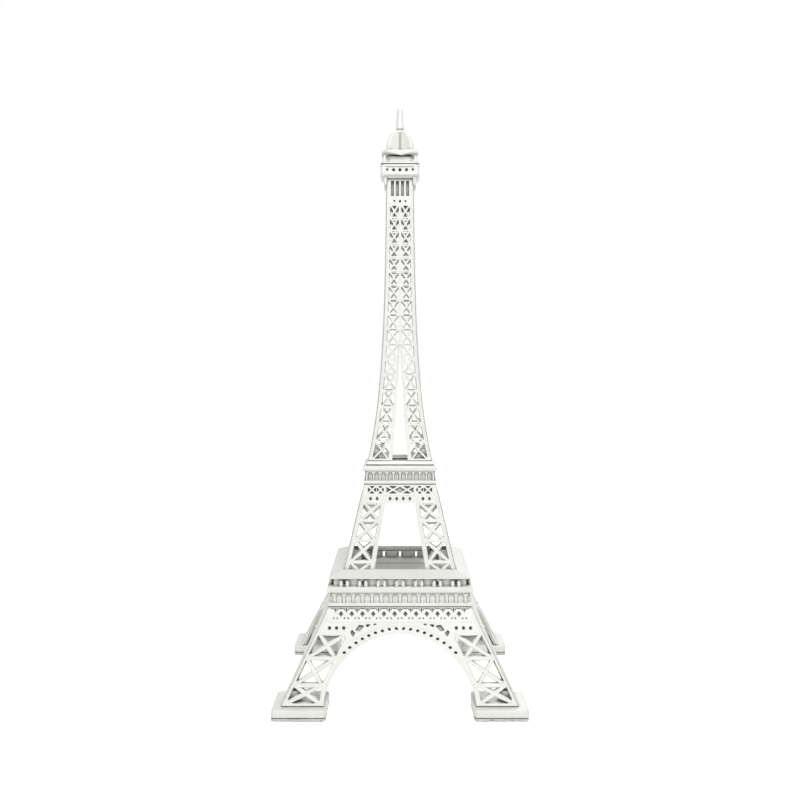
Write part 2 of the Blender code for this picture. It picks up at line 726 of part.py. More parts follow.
def crown(paint, steel):
    """The cabin and the finned dome on the balcony, and the antenna whose stem holds them to it."""
    cabin_profile = [
        (BALCONY_HALF, CABIN_Z),
        (BALCONY_HALF, CABIN_Z + CABIN_DECK),
        (CABIN_HALF, CABIN_Z + CABIN_DECK),
        (CABIN_HALF, CAP_Z - GAP),
    ]
    cabin = make_object("cabin", square_solid(cabin_profile), paint)
    cap_profile = [
        (CAP_HALF - CAP_EDGE, CAP_Z),
        (CAP_HALF, CAP_Z + CAP_EDGE),
        (CAP_HALF, DOME_Z - CAP_EDGE),
        (CAP_HALF - CAP_EDGE, DOME_Z),
    ]
    dome = make_object("dome", square_solid(cap_profile), paint)
    dome_top = DOME_Z + DOME_HEIGHT
    outline = half_ellipse((CAP_HALF - DOME_MARGIN) * math.sqrt(2), DOME_Z, DOME_HEIGHT - FIN_DROP)
    for side in (-1, 1):
        flat = plate(outline, [], FIN_THICKNESS, across_corners(side))
        boolean(dome, make_object(f"dome_fins_{side + 1}", flat, paint), "UNION")
    hub = turned([(HUB_RADIUS, DOME_Z - FIN_SINK), (HUB_RADIUS, dome_top)])
    boolean(dome, make_object("dome_hub", hub, paint), "UNION")
    bore = turned([(STEM_RADIUS + GAP, CABIN_Z - OVERCUT), (STEM_RADIUS + GAP, dome_top + OVERCUT)])
    bore = make_object("stem_bore", bore, paint)
    boolean(cabin, bore, "DIFFERENCE")
    boolean(dome, bore, "DIFFERENCE")
    nut_z = CABIN_Z - GAP - NUT_HEIGHT
    antenna_profile = [
        (STEM_RADIUS, nut_z - STEM_END),
        (STEM_RADIUS, ANTENNA_Z),
        (ANTENNA_FOOT_RADIUS, ANTENNA_Z),
        (ANTENNA_TIP_RADIUS, ANTENNA_Z + ANTENNA_HEIGHT - ANTENNA_TIP),
        (ANTENNA_TIP_RADIUS / 2, ANTENNA_Z + ANTENNA_HEIGHT),
    ]
    make_object("antenna", turned(antenna_profile), paint)
    nut_plan = circle(0, 0, NUT_RADIUS, 6)
    nut = plate(nut_plan, [circle(0, 0, STEM_RADIUS + GAP)], NUT_HEIGHT, upright(nut_z))
    make_object("antenna_nut", nut, steel)


def build():
    """Model the whole tower in an empty scene."""
    for piece in list(bpy.data.objects):
        bpy.data.objects.remove(piece)
    paint, foam, steel = (principled(*look) for look in (PAINT, FOAM, STEEL))
    foot_axis = fastening("foot", lower_half, LOWER_PLATE, LOWER_Z, PLINTH_Z, paint, steel)
    feet(foot_axis, paint, foam)
    tier("lower_face", lower_pattern(), LOWER_PLATE, lower_half, paint)
    deck_z = WINDOW_Z - DECK_THICKNESS
    gallery_axis = fastening("gallery", middle_half, MIDDLE_PLATE, MIDDLE_Z, deck_z, paint, steel)
    gallery(gallery_axis, paint)
    tier("middle_face", middle_pattern(), MIDDLE_PLATE, middle_half, paint)
    slab_axis = fastening("platform", upper_half, UPPER_PLATE, UPPER_Z, SLAB_Z, paint, steel)
    platform(slab_axis, paint)
    tier("upper_face", upper_pattern(), UPPER_PLATE, upper_half, paint)
    balcony(paint)
    crown(paint, steel)


build()
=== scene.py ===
"""The looks of a white enamelled lattice tower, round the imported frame: soft edges, relief and paint."""

import math

import bmesh
import bpy
from mathutils import Matrix, Vector, noise
from mathutils.geometry import delaunay_2d_cdt


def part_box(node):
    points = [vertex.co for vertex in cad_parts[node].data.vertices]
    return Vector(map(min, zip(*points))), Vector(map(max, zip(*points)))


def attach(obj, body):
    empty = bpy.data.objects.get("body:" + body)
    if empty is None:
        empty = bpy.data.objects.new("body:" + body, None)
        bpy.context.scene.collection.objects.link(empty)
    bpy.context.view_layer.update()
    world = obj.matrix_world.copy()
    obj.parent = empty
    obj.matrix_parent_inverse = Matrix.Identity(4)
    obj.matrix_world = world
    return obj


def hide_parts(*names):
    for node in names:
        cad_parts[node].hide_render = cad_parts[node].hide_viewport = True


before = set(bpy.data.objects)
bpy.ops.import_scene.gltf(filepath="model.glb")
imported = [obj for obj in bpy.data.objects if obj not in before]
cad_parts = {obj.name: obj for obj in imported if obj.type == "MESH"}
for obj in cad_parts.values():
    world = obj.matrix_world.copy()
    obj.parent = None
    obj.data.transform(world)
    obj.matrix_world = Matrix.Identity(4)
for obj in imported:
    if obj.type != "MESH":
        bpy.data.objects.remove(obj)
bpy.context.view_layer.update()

MM = 0.001
SEAM = 0.2 * MM
SIDES = ("front", "right", "back", "left")
CORNERS = ("front_right", "back_right", "back_left", "front_left")
BODY = "root"
FILL_WITH_HOLES = 2
ROUND_STEPS = 3
WOBBLE = 0.07 * MM  # unevenness of the cast surface
WOBBLE_SCALE = 260.0
WOBBLE_SEED = 11


# --- Levels and half widths, read from the frame -----------------------------------------


def level(node, top=False):
    """Height of a node's underside, or of its top."""
    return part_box(node)[1 if top else 0][2]


def half_width(node):
    """Half of a node's width across."""
    low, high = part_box(node)
    return (high[0] - low[0]) / 2


LOWER_Z, LOWER_TOP = level("lower_face_front"), level("lower_face_front", True)
MIDDLE_Z, MIDDLE_TOP = level("middle_face_front"), level("middle_face_front", True)
UPPER_Z, UPPER_TOP = level("upper_face_front"), level("upper_face_front", True)
LEG_HALF = half_width("lower_face_front")
MIDDLE_FOOT_HALF = half_width("middle_face_front")
UPPER_FOOT_HALF = half_width("upper_face_front")
GALLERY_Z, GALLERY_TOP = level("gallery_frame"), level("gallery_frame", True)
ROOF_Z, ROOF_TOP = level("gallery_roof"), level("gallery_roof", True)
PLATFORM_Z, PLATFORM_TOP = level("platform_frame"), level("platform_frame", True)
SLAB_Z, SLAB_TOP = level("platform_slab"), level("platform_slab", True)
BALCONY_TOP = level("balcony", True)
BALCONY_HALF = half_width("balcony")
CABIN_Z, CABIN_TOP = level("cabin"), level("cabin", True)
DOME_Z, DOME_TOP = level("dome"), level("dome", True)
CAP_HALF = half_width("dome")
GAP = CABIN_Z - BALCONY_TOP
BALCONY_Z = UPPER_TOP + GAP
LOWER_TOP_HALF = 44.5 * MM
MIDDLE_TOP_HALF = 23.4 * MM
UPPER_TOP_HALF = 9.0 * MM
UPPER_FLARE = 52.0 * MM


def between(low, high, share):
    """The value at a share of the way from low to high."""
    return low + (high - low) * share


def lower_half(z):
    return between(LEG_HALF, LOWER_TOP_HALF, (z - LOWER_Z) / (LOWER_TOP - LOWER_Z))


def middle_half(z):
    return between(MIDDLE_FOOT_HALF, MIDDLE_TOP_HALF, (z - MIDDLE_Z) / (MIDDLE_TOP - MIDDLE_Z))


def upper_half(z):
    fall = math.exp(-(z - UPPER_Z) / UPPER_FLARE)
    least = math.exp(-(UPPER_TOP - UPPER_Z) / UPPER_FLARE)
    return between(UPPER_TOP_HALF, UPPER_FOOT_HALF, (fall - least) / (1 - least))


# --- Flat patterns: closed loops of (across, up) points -----------------------------------


def mirrored(loop):
    return [(-u, v) for u, v in reversed(loop)]


def both_sides(holes):
    return holes + [mirrored(hole) for hole in holes]


def rectangle(left, right, low, high):
    return [(left, low), (right, low), (right, high), (left, high)]


def ellipse(u, v, across, up, sides=12):
    turns = [2 * math.pi * (k + 0.5) / sides for k in range(sides)]
    return [(u + across * math.cos(turn), v + up * math.sin(turn)) for turn in turns]


def diamond(across, z, half_width, half_height):
    return [(across + half_width, z), (across, z + half_height),
            (across - half_width, z), (across, z - half_height)]


def signed_area(loop):
    after = loop[1:] + loop[:1]
    return sum(a[0] * b[1] - b[0] * a[1] for a, b in zip(loop, after)) / 2


def inset(corners, widths):
    """A convex polygon with each side moved inwards by its own width."""
    after = corners[1:] + corners[:1]
    turn = math.copysign(1, signed_area(corners))
    sides = []
    for start, end, width in zip(corners, after, widths):
        along = (Vector(end) - Vector(start)).normalized()
        sides.append((Vector(start) + Vector((-along.y, along.x)) * turn * width, along))
    points = []
    for (p, d), (q, e) in zip(sides[-1:] + sides[:-1], sides):
        points.append(tuple(p + d * ((q - p).cross(e) / d.cross(e))))
    return points


def offset(loop, distance):
    """A loop moved outwards by a distance at each corner, or inwards if it is negative."""
    turn = math.copysign(1, signed_area(loop))
    moved = []
    for before, here, after in zip(loop[-1:] + loop[:-1], loop, loop[1:] + loop[:1]):
        first = (Vector(here) - Vector(before)).normalized()
        second = (Vector(after) - Vector(here)).normalized()
        outwards = Vector((first.y + second.y, -first.x - second.x)) * turn
        length = outwards.length
        if length < 1e-9:
            moved.append(here)
            continue
        outwards /= length
        cosine = max(0.5, outwards.dot(Vector((first.y, -first.x)) * turn))
        moved.append(tuple(Vector(here) + outwards * distance / cosine))
    return moved


def rounded(loop, radius, steps=ROUND_STEPS, closed=True):
    """A line or loop with its corners rounded by short arcs."""
    points = []
    count = len(loop)
    for k, here in enumerate(loop):
        if not closed and k in (0, count - 1):
            points.append(here)
            continue
        here = Vector(here)
        before, after = Vector(loop[k - 1]) - here, Vector(loop[(k + 1) % count]) - here
        angle = before.angle(after)
        if angle > math.radians(165):
            points.append(tuple(here))
            continue
        reach = min(radius / math.tan(angle / 2), before.length * 0.45, after.length * 0.45)
        start, end = here + before.normalized() * reach, here + after.normalized() * reach
        for step in range(steps + 1):
            t = step / steps
            points.append(tuple(start * (1 - t) ** 2 + here * 2 * t * (1 - t) + end * t**2))
    return points


def braced_bay(corners, rails, bar):
    """The four triangles that two crossed bars leave in a bay."""
    a, b, c, d = (Vector(corner) for corner in corners)
    crossing = tuple(a + (c - a) * ((b - a).cross(d - b) / (c - a).cross(d - b)))
    after = corners[1:] + corners[:1]
    holes = []
    for start, end, rail in zip(corners, after, rails):
        holes.append(inset([start, end, crossing], [rail, bar / 2, bar / 2]))
    return holes


def soft(holes, radius, steps=ROUND_STEPS):
    """The holes with round corners."""
    return [rounded(hole, radius, steps) for hole in holes]


def braced_column(levels, inner, outer, rail, bar):
    """The openings of a column of braced bays between the side lines inner(z) and outer(z)."""
    holes = []
    for low, high in zip(levels, levels[1:]):
        corners = [(inner(low), low), (outer(low), low), (outer(high), high), (inner(high), high)]
        holes += braced_bay(corners, (rail / 2, 0, rail / 2, 0), bar)
    return holes


def tapered_levels(start, end, count, taper):
    """Heights of the crossbars between two levels: each bay is a little lower than the one below."""
    shares = [between(1, taper, bay / (count - 1)) for bay in range(count)]
    levels = [start]
    for share in shares:
        levels.append(levels[-1] + (end - start) * share / sum(shares))
    return levels


# --- Meshes ---------------------------------------------------------------------------------


def make_piece(name, bm, material, nodes=(), smooth=50):
    """A named piece from a bmesh, shaded smooth, riding on the tower and standing for the nodes."""
    bmesh.ops.recalc_face_normals(bm, faces=bm.faces)
    mesh = bpy.data.meshes.new(name)
    bm.to_mesh(mesh)
    bm.free()
    mesh.materials.append(material)
    mesh.shade_smooth()
    mesh.set_sharp_from_angle(angle=math.radians(smooth))
    return place_piece(name, mesh, 0, nodes)


def place_piece(name, mesh, quarter, nodes):
    """A piece that shows the mesh turned by a number of quarter turns about +Z."""
    piece = bpy.data.objects.new(name, mesh)
    piece.rotation_euler.z = quarter * math.pi / 2
    bpy.context.scene.collection.objects.link(piece)
    weighted = piece.modifiers.new("weighted_normals", "WEIGHTED_NORMAL")
    weighted.keep_sharp = True
    bpy.context.view_layer.update()
    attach(piece, BODY)
    if nodes:
        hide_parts(*nodes)
    return piece


def repeat(piece, base, node, names):
    """Add the other three turned copies of a piece that stands for the first node."""
    for quarter, name in enumerate(names[1:], 1):
        place_piece(f"{base}_{name}", piece.data, quarter, [f"{node}_{name}"])


def fill(bm, loops, verts, flip):
    """Fill the flat region between an outline and its holes with triangles."""
    points = [Vector(point) for loop in loops for point in loop]
    faces, start = [], 0
    for loop in loops:
        faces.append(list(range(start, start + len(loop))))
        start += len(loop)
    found, _, triangles, origins, *_ = delaunay_2d_cdt(points, [], faces, FILL_WITH_HOLES, 1e-7)
    for triangle in triangles:
        corners = []
        for index in triangle:
            if not origins[index]:
                corners = []
                break
            corners.append(verts[origins[index][0]])
        if len(set(corners)) == 3:
            bm.faces.new(corners[::-1] if flip else corners)


def edge_profile(edge, thickness, steps=ROUND_STEPS):
    """(inset, depth) pairs that round a plate's front and back edges."""
    front = []
    for step in range(steps + 1):
        turn = math.pi / 2 * step / steps
        front.append((edge * (1 - math.sin(turn)), edge * (1 - math.cos(turn))))
    back = [(inwards, thickness - depth) for inwards, depth in reversed(front)]
    return front + back


def plate(outline, holes, thickness, edge, place):
    """A plate with round edges: the outline less the holes, carried into space by place(u, v, depth)."""
    bm = bmesh.new()
    rings = []
    for inwards, depth in edge_profile(edge, thickness):
        loops = [offset(outline, -inwards)] + [offset(hole, inwards) for hole in holes]
        rings.append((loops, [[bm.verts.new(place(u, v, depth)) for u, v in loop] for loop in loops]))
    for flip, (loops, verts) in ((False, rings[0]), (True, rings[-1])):
        fill(bm, loops, [vert for loop in verts for vert in loop], flip)
    for (_, near), (_, far) in zip(rings, rings[1:]):
        for a, b in zip(near, far):
            for k in range(len(a)):
                bm.faces.new((a[k - 1], a[k], b[k], b[k - 1]))
    return bm


# Unseeded, noise_vector takes its offsets from the clock, so each run would differ a little.
noise.seed_set(WOBBLE_SEED)


def uneven(point):
    """The point, moved a little as on a hand-finished casting."""
    return point + noise.noise_vector(point * WOBBLE_SCALE) * WOBBLE


def leaning(half):
    """Place a front face drawn in (across, z), leaning along half(z) and mitred at its two edges."""

    def place(u, z, depth):
        reach = half(z) - depth - SEAM
        return uneven(Vector((math.copysign(min(abs(u), reach), u), depth - half(z), z)))

    return place


def behind(place, setback):
    """The same placing function, set back by a distance."""
    return lambda u, z, depth: place(u, z, depth + setback)


def square_loop(half, radius, steps=4):
    """The plan of a square with round corners."""
    points = []
    radius = min(radius, half * 0.98)
    centre = half - radius
    for quarter, (x, y) in enumerate(((1, 1), (-1, 1), (-1, -1), (1, -1))):
        for step in range(steps + 1):
            turn = (quarter + step / steps) * math.pi / 2
            points.append((x * centre + radius * math.cos(turn), y * centre + radius * math.sin(turn)))
    return points


def swept(bm, profile, radius, closed):
    """Sweep a profile of (half width, z) points round a square with round corners."""
    rings = []
    for half, z in profile:
        rings.append([bm.verts.new(uneven(Vector((x, y, z)))) for x, y in square_loop(half, radius)])
    pairs = list(zip(rings, rings[1:]))
    if closed:
        pairs.append((rings[-1], rings[0]))
    else:
        bm.faces.new(rings[0])
        bm.faces.new(rings[-1])
    for low, high in pairs:
        for k in range(len(low)):
            bm.faces.new((low[k - 1], low[k], high[k], high[k - 1]))


def turned(bm, profile, x=0.0, y=0.0, sides=16):
    """Add a round solid about a vertical axis from (radius, z) points, capped at both ends."""
    rings = []
    for radius, z in profile:
        rings.append([bm.verts.new((u, v, z)) for u, v in ellipse(x, y, radius, radius, sides)])
    bm.faces.new(rings[0])
    bm.faces.new(rings[-1])
    for low, high in zip(rings, rings[1:]):
        for k in range(sides):
            bm.faces.new((low[k - 1], low[k], high[k], high[k - 1]))


def add_mesh(bm, other):
    """Add a bmesh's geometry to another, and free it."""
    mesh = bpy.data.meshes.new("part")
    other.to_mesh(mesh)
    other.free()
    bm.from_mesh(mesh)
    bpy.data.meshes.remove(mesh)


def four_sides(bm, side):
    """Add the front side's geometry to bm four times, turned to each side."""
    mesh = bpy.data.meshes.new("side")
    side.to_mesh(mesh)
    side.free()
    for quarter in range(4):
        turn = Matrix.Rotation(quarter * math.pi / 2, 4, "Z")
        mesh.transform(turn)
        bm.from_mesh(mesh)
        mesh.transform(turn.inverted())
    bpy.data.meshes.remove(mesh)


# --- Materials ------------------------------------------------------------------------------


def surface(name, colour, shade, roughness, bumps, painted_recess_shade=0.0):
    """A painted or plated surface: two close tones, uneven gloss, and bumps of several sizes.

    bumps is a list of (noise scale per metre, depth in metres), and the last argument paints shade into
    hollows: ambient occlusion darkens them towards near black.
    """
    material = bpy.data.materials.new(name)
    material.use_nodes = True
    tree = material.node_tree
    shader = tree.nodes["Principled BSDF"]
    place = tree.nodes.new("ShaderNodeTexCoord").outputs["Object"]

    def cloud(scale, detail):
        node = tree.nodes.new("ShaderNodeTexNoise")
        node.inputs["Scale"].default_value = scale
        node.inputs["Detail"].default_value = detail
        tree.links.new(place, node.inputs["Vector"])
        return node.outputs["Fac"]

    def mapped(value, low, high, out_low, out_high):
        node = tree.nodes.new("ShaderNodeMapRange")
        for socket, number in zip(node.inputs[1:5], (low, high, out_low, out_high)):
            socket.default_value = number
        tree.links.new(value, node.inputs[0])
        return node.outputs[0]

    def mix(factor, first, second):
        node = tree.nodes.new("ShaderNodeMix")
        node.data_type = "RGBA"
        tree.links.new(factor, node.inputs[0])
        for socket, value in ((node.inputs[6], first), (node.inputs[7], second)):
            if isinstance(value, tuple):
                socket.default_value = (*value, 1.0)
            else:
                tree.links.new(value, socket)
        return node.outputs[2]

    tone_and_painted_shade = mix(mapped(cloud(70.0, 4.0), 0.35, 0.7, 0.0, 1.0), colour, shade)
    if painted_recess_shade:
        # Painted shade: ambient occlusion over 3 mm darkens creases and hollows towards the near black
        # (0.05, 0.05, 0.045).
        shade_occlusion = tree.nodes.new("ShaderNodeAmbientOcclusion")
        shade_occlusion.inputs["Distance"].default_value = 3.0 * MM
        shade_occlusion.samples = 8
        painted_shade_amount = mapped(shade_occlusion.outputs["AO"], 0.22, 0.88, painted_recess_shade, 0.0)
        tone_and_painted_shade = mix(painted_shade_amount, tone_and_painted_shade, (0.05, 0.05, 0.045))
    tree.links.new(tone_and_painted_shade, shader.inputs["Base Color"])
    sheen = mapped(cloud(420.0, 3.0), 0.3, 0.7, roughness - 0.07, roughness + 0.1)
    tree.links.new(sheen, shader.inputs["Roughness"])
    normal = None
    for scale, depth in bumps:
        bump = tree.nodes.new("ShaderNodeBump")
        bump.inputs["Strength"].default_value = 1.0
        bump.inputs["Distance"].default_value = depth
        tree.links.new(cloud(scale, 2.0), bump.inputs["Height"])
        if normal:
            tree.links.new(normal, bump.inputs["Normal"])
        normal = bump.outputs["Normal"]
    tree.links.new(normal, shader.inputs["Normal"])
    return material, shader


def make_materials():
    # The enamel takes a strong painted shade in its hollows.
    enamel, shader = surface(
        "white_enamel", (0.88, 0.88, 0.84), (0.84, 0.84, 0.79), 0.42,
        ((330.0, 0.25 * MM), (1500.0, 0.05 * MM)), painted_recess_shade=0.95,
    )
    shader.inputs["Coat Weight"].default_value = 0.25
    shader.inputs["Coat Roughness"].default_value = 0.25
    # The pad takes a milder painted shade in its hollows.
    pad, _ = surface(
        "pad_foam", (0.84, 0.84, 0.80), (0.80, 0.79, 0.75), 0.8,
        ((700.0, 0.5 * MM), (2500.0, 0.2 * MM)), painted_recess_shade=0.45,
    )
    zinc, shader = surface(
        "zinc_plate", (0.60, 0.60, 0.62), (0.50, 0.50, 0.53), 0.35, ((2500.0, 0.02 * MM),)
    )
    shader.inputs["Metallic"].default_value = 1.0
    return enamel, pad, zinc


ENAMEL, PAD, ZINC = make_materials()


# --- Lower tier -----------------------------------------------------------------------------

LOWER_THICK = 3.0 * MM
ARCH_HALF = 45.1 * MM
ARCH_RISE = 37.4 * MM
ARCH_POWER = 1.9
ARCH_STEPS = 56
LEG_LEVELS = (8.9, 17.9, 31.7, 44.7)  # millimetres, as are the next two
LEG_INNER = (47.9, 46.8, 39.3, 32.4)
LEG_OUTER = (67.2, 63.0, 56.3, 49.3)
BEAD_PITCH = 4.12 * MM
BEAD_COUNT = 9  # each side of the crown
BEAD_OFFSET = 2.6 * MM
BELT_PITCH = 6.62 * MM
BELT_BAYS = 6
BELT_LOW, BELT_HIGH = 51.4 * MM, 58.7 * MM
BELT_RIB_Z = 51.0 * MM


def arch_point(turn):
    """A point of the arch's superellipse, from its right spring at 0 to its left one at pi."""
    across = math.copysign(abs(math.cos(turn)) ** (2 / ARCH_POWER), math.cos(turn))
    rise = max(0.0, math.sin(turn)) ** (2 / ARCH_POWER)
    return Vector((ARCH_HALF * across, LOWER_Z + ARCH_RISE * rise))


def along_arch(distance, outwards):
    """The point that far along the arch from its crown and outside it, and the arch's direction there."""
    turn, gone, step = math.pi / 2, 0.0, 0.002
    here = arch_point(turn)
    tangent = Vector((1, 0))
    while gone < distance and turn > step:
        turn -= step
        after = arch_point(turn)
        gone += (after - here).length
        tangent = (after - here).normalized()
        here = after
    return here + Vector((-tangent.y, tangent.x)) * outwards, math.atan2(tangent.y, tangent.x)


def tilted_ellipse(centre, long, short, angle, sides=10):
    turn = Matrix.Rotation(angle, 2)
    return [tuple(centre + turn @ Vector(point)) for point in ellipse(0, 0, long, short, sides)]


def belt_holes():
    """The lattice band over the arch: diamonds between crossings that upright bars split."""
    holes = []
    middle = between(BELT_LOW, BELT_HIGH, 0.52)
    for k in range(BELT_BAYS):
        holes.append(diamond((k + 0.5) * BELT_PITCH, middle, 1.35 * MM, 1.5 * MM))
    for k in range(BELT_BAYS + 1):
        u = k * BELT_PITCH
        for side in (-1, 1):
            near, far = u + side * 0.8 * MM, u + side * 1.7 * MM
            holes.append([(near, 57.0 * MM), (far, 57.8 * MM), (near, 58.0 * MM)])
            holes.append([(near, 53.5 * MM), (far, 52.7 * MM), (near, 52.5 * MM)])
    return holes


def lower_holes():
    bar = 2.0 * MM
    holes = []
    for low in range(3):
        ends = ((LEG_INNER, low), (LEG_OUTER, low), (LEG_OUTER, low + 1), (LEG_INNER, low + 1))
        corners = [(line[k] * MM, LEG_LEVELS[k] * MM) for line, k in ends]
        rail = bar / 2 if low else 0.0
        holes += soft(braced_bay(corners, (rail, 0, bar / 2, 0), bar), 0.35 * MM)
    return holes


def lower_small_holes():
    """The openings over the arch and the beads along it, on the right side."""
    holes = []
    for across in (34.5, 38.9, 43.2):
        holes.append(ellipse(across * MM, 47.6 * MM, 0.95 * MM, 0.95 * MM))
    spandrel = (
        ((21.8, 48.9), (24.6, 46.0), (27.4, 46.3), (25.2, 49.3)),
        ((27.4, 44.9), (28.9, 42.9), (30.3, 45.4), (29.4, 46.6)),
        ((17.6, 49.6), (20.4, 48.0), (21.0, 49.5)),
        ((13.8, 49.9), (16.0, 49.0), (16.4, 49.9)),
    )
    for corners in spandrel:
        holes.append(rounded([(u * MM, z * MM) for u, z in corners], 0.4 * MM))
    for k in range(BEAD_COUNT):
        centre, angle = along_arch((k + 0.5) * BEAD_PITCH, BEAD_OFFSET)
        holes.append(tilted_ellipse(centre, 1.0 * MM, 0.72 * MM, angle + 0.5))
    return holes


def lower_face():
    right = [(LEG_HALF - SEAM, LOWER_Z), (LOWER_TOP_HALF - SEAM, LOWER_TOP)]
    outline = right + mirrored(right)
    outline += [tuple(arch_point(math.pi * (1 - step / ARCH_STEPS))) for step in range(ARCH_STEPS + 1)]
    belt = belt_holes()
    upright = [hole for hole in belt if min(u for u, _ in hole) > 0]
    middle = [hole for hole in belt if min(u for u, _ in hole) <= 0 < max(u for u, _ in hole)]
    small = both_sides(lower_small_holes()) + both_sides(upright) + middle
    small += [hole for hole in belt if max(u for u, _ in hole) <= 0]
    open_holes = both_sides(lower_holes())
    place = leaning(lower_half)
    # Only the front layer has the small holes; the back layer closes them, so their floors take the
    # enamel's painted shade and show dark.
    front = LOWER_THICK - 0.9 * MM
    bm = plate(outline, open_holes + small, front, 0.45 * MM, place)
    add_mesh(bm, plate(outline, open_holes, 0.8 * MM, 0.1 * MM, behind(place, front + 0.1 * MM)))
    for low in range(3):
        lines = ((LEG_INNER[low], low, LEG_OUTER[low + 1], low + 1),
                 (LEG_OUTER[low], low, LEG_INNER[low + 1], low + 1))
        lines += ((LEG_INNER[low + 1], low + 1, LEG_OUTER[low + 1], low + 1),)
        for start, first, end, last in lines:
            for side in (-1, 1):
                line = [(side * start * MM, LEG_LEVELS[first] * MM),
                        (side * end * MM, LEG_LEVELS[last] * MM)]
                add_spindle(bm, line, 1.35 * MM, lower_half)
    trim = bmesh.new()
    for side in (-1, 1):
        for offset_out, radius in ((0.6 * MM, 0.7 * MM), (4.8 * MM, 0.6 * MM)):
            line = []
            for k in range(40):
                centre, _ = along_arch(k * 1.45 * MM, offset_out)
                if centre.y < LOWER_Z + 1.2 * MM or (offset_out > 2 * MM and centre.x > 30.5 * MM):
                    break
                line.append((side * centre.x, centre.y))
            add_rod(trim, line, radius, lower_half)
    for side in (-1, 1):
        line = [(side * (lower_half(z) - 1.3 * MM), z) for z in (LOWER_Z + 1 * MM, LOWER_TOP - 1 * MM)]
        add_rod(trim, subdivided(line, 10), 0.8 * MM, lower_half)
    reach = lower_half(BELT_RIB_Z) - 1.4 * MM
    line = [(-reach, BELT_RIB_Z), (reach, BELT_RIB_Z)]
    add_rod(trim, subdivided(line, 24), 0.5 * MM, lower_half)
    add_mesh(bm, trim)
    piece = make_piece("lower_face_front", bm, ENAMEL, ["lower_face_front"])
    repeat(piece, "lower_face", "lower_face", SIDES)


def add_spindle(bm, line, radius, half):
    """A raised rib between two points, thickest at mid length."""
    points = subdivided(line, 10)
    radii = [radius * (0.5 + 0.5 * math.sin(math.pi * k / 10) ** 0.8) for k in range(11)]
    add_rod(bm, points, radii, half)


def subdivided(line, count):
    """Evenly spaced points along a straight line between two points."""
    start, end = Vector(line[0]), Vector(line[1])
    return [tuple(start.lerp(end, k / count)) for k in range(count + 1)]


def add_rod(bm, line, radius, half, sides=8):
    """A raised round rib along a line of (across, z) points on the front of a leaning face."""
    place = leaning(half)
    radii = radius if isinstance(radius, list) else [radius] * len(line)
    rings = []
    for k, (u, z) in enumerate(line):
        thickness = radii[k]
        before, after = Vector(line[max(k - 1, 0)]), Vector(line[min(k + 1, len(line) - 1)])
        along = (after - before).normalized()
        across = Vector((-along.y, along.x))
        end = 0.4 if k in (0, len(line) - 1) else 1.0
        ring = []
        for step in range(sides):
            turn = 2 * math.pi * step / sides
            spot = Vector((u, z)) + across * thickness * end * math.cos(turn)
            depth = thickness * (0.35 - 0.75 * end * math.sin(turn))
            ring.append(bm.verts.new(place(spot.x, spot.y, depth)))
        rings.append(ring)
    bm.faces.new(rings[0])
    bm.faces.new(rings[-1])
    for low, high in zip(rings, rings[1:]):
        for k in range(sides):
            bm.faces.new((low[k - 1], low[k], high[k], high[k - 1]))


lower_face()


# --- Feet -----------------------------------------------------------------------------------


def corner_block(bm, low, high, profile, radius, noise_depth=0.0):
    """A block over the front right foot from low to high across, with a profile of (inset, z) points."""
    rings = []
    middle, half = (low + high) / 2, (high - low) / 2
    for inwards, z in profile:
        corners = square_loop(half - inwards, radius, 8)
        rings.append([Vector((middle + x, -middle + y, z)) for x, y in corners])
    verts = []
    for ring in rings:
        fine = []
        for start, end in zip(ring, ring[1:] + ring[:1]):
            count = max(1, round((end - start).length / (1.2 * MM)))
            for k in range(count):
                point = start.lerp(end, k / count)
                outwards = Vector((point.x - middle, point.y + middle, 0)).normalized()
                rough = noise.noise(point * 900.0) * noise_depth
                fine.append(uneven(point + outwards * (rough - noise_depth / 2)))
        verts.append([bm.verts.new(point) for point in fine])
    bm.faces.new(verts[0])
    bm.faces.new(verts[-1])
    for a, b in zip(verts, verts[1:]):
        if len(a) == len(b):
            for k in range(len(a)):
                bm.faces.new((a[k - 1], a[k], b[k], b[k - 1]))
        else:
            pairs = [(ring[k - 1], ring[k]) for ring in (a, b) for k in range(len(ring))]
            edges = [bm.edges.get(pair) or bm.edges.new(pair) for pair in pairs]
            bmesh.ops.bridge_loops(bm, edges=edges)


def arc_profile(start, end, bulge, steps=4):
    """Points of a rounded edge between two (inset, z) points, which bows out at the corner point bulge."""
    a, b, c = Vector(start), Vector(bulge), Vector(end)
    points = []
    for step in range(steps + 1):
        t = step / steps
        points.append(tuple(a * (1 - t) ** 2 + b * 2 * t * (1 - t) + c * t * t))
    return points


def feet():
    low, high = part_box("foot_plinth_front_right")
    inner, outer = low[0], high[0]
    base, top = low[2], high[2]
    bm = bmesh.new()
    profile = arc_profile((0.7 * MM, base), (0, base + 0.8 * MM), (0, base), 3)
    profile += arc_profile((0, top - 1.3 * MM), (1.4 * MM, top), (0, top), 4)
    corner_block(bm, inner, outer, profile, 2.2 * MM, 0.25 * MM)
    piece = make_piece("foot_plinth_front_right", bm, ENAMEL, ["foot_plinth_front_right"])
    repeat(piece, "foot_plinth", "foot_plinth", CORNERS)
    low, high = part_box("foot_pad_front_right")
    bm = bmesh.new()
    profile = [(0.9 * MM, low[2]), (-0.5 * MM, 0.5 * MM), (-0.9 * MM, 1.2 * MM), (-0.8 * MM, 1.9 * MM)]
    profile.append((0.3 * MM, high[2]))
    corner_block(bm, low[0], high[0], profile, 2.0 * MM, 1.3 * MM)
    for vert in bm.verts:
        vert.co.x = min(vert.co.x, outer)
        vert.co.y = max(vert.co.y, -outer)
        vert.co.z = max(vert.co.z, low[2])
    piece = make_piece("foot_pad_front_right", bm, PAD, ["foot_pad_front_right"])
    repeat(piece, "foot_pad", "foot_pad", CORNERS)


feet()


# --- Gallery --------------------------------------------------------------------------------

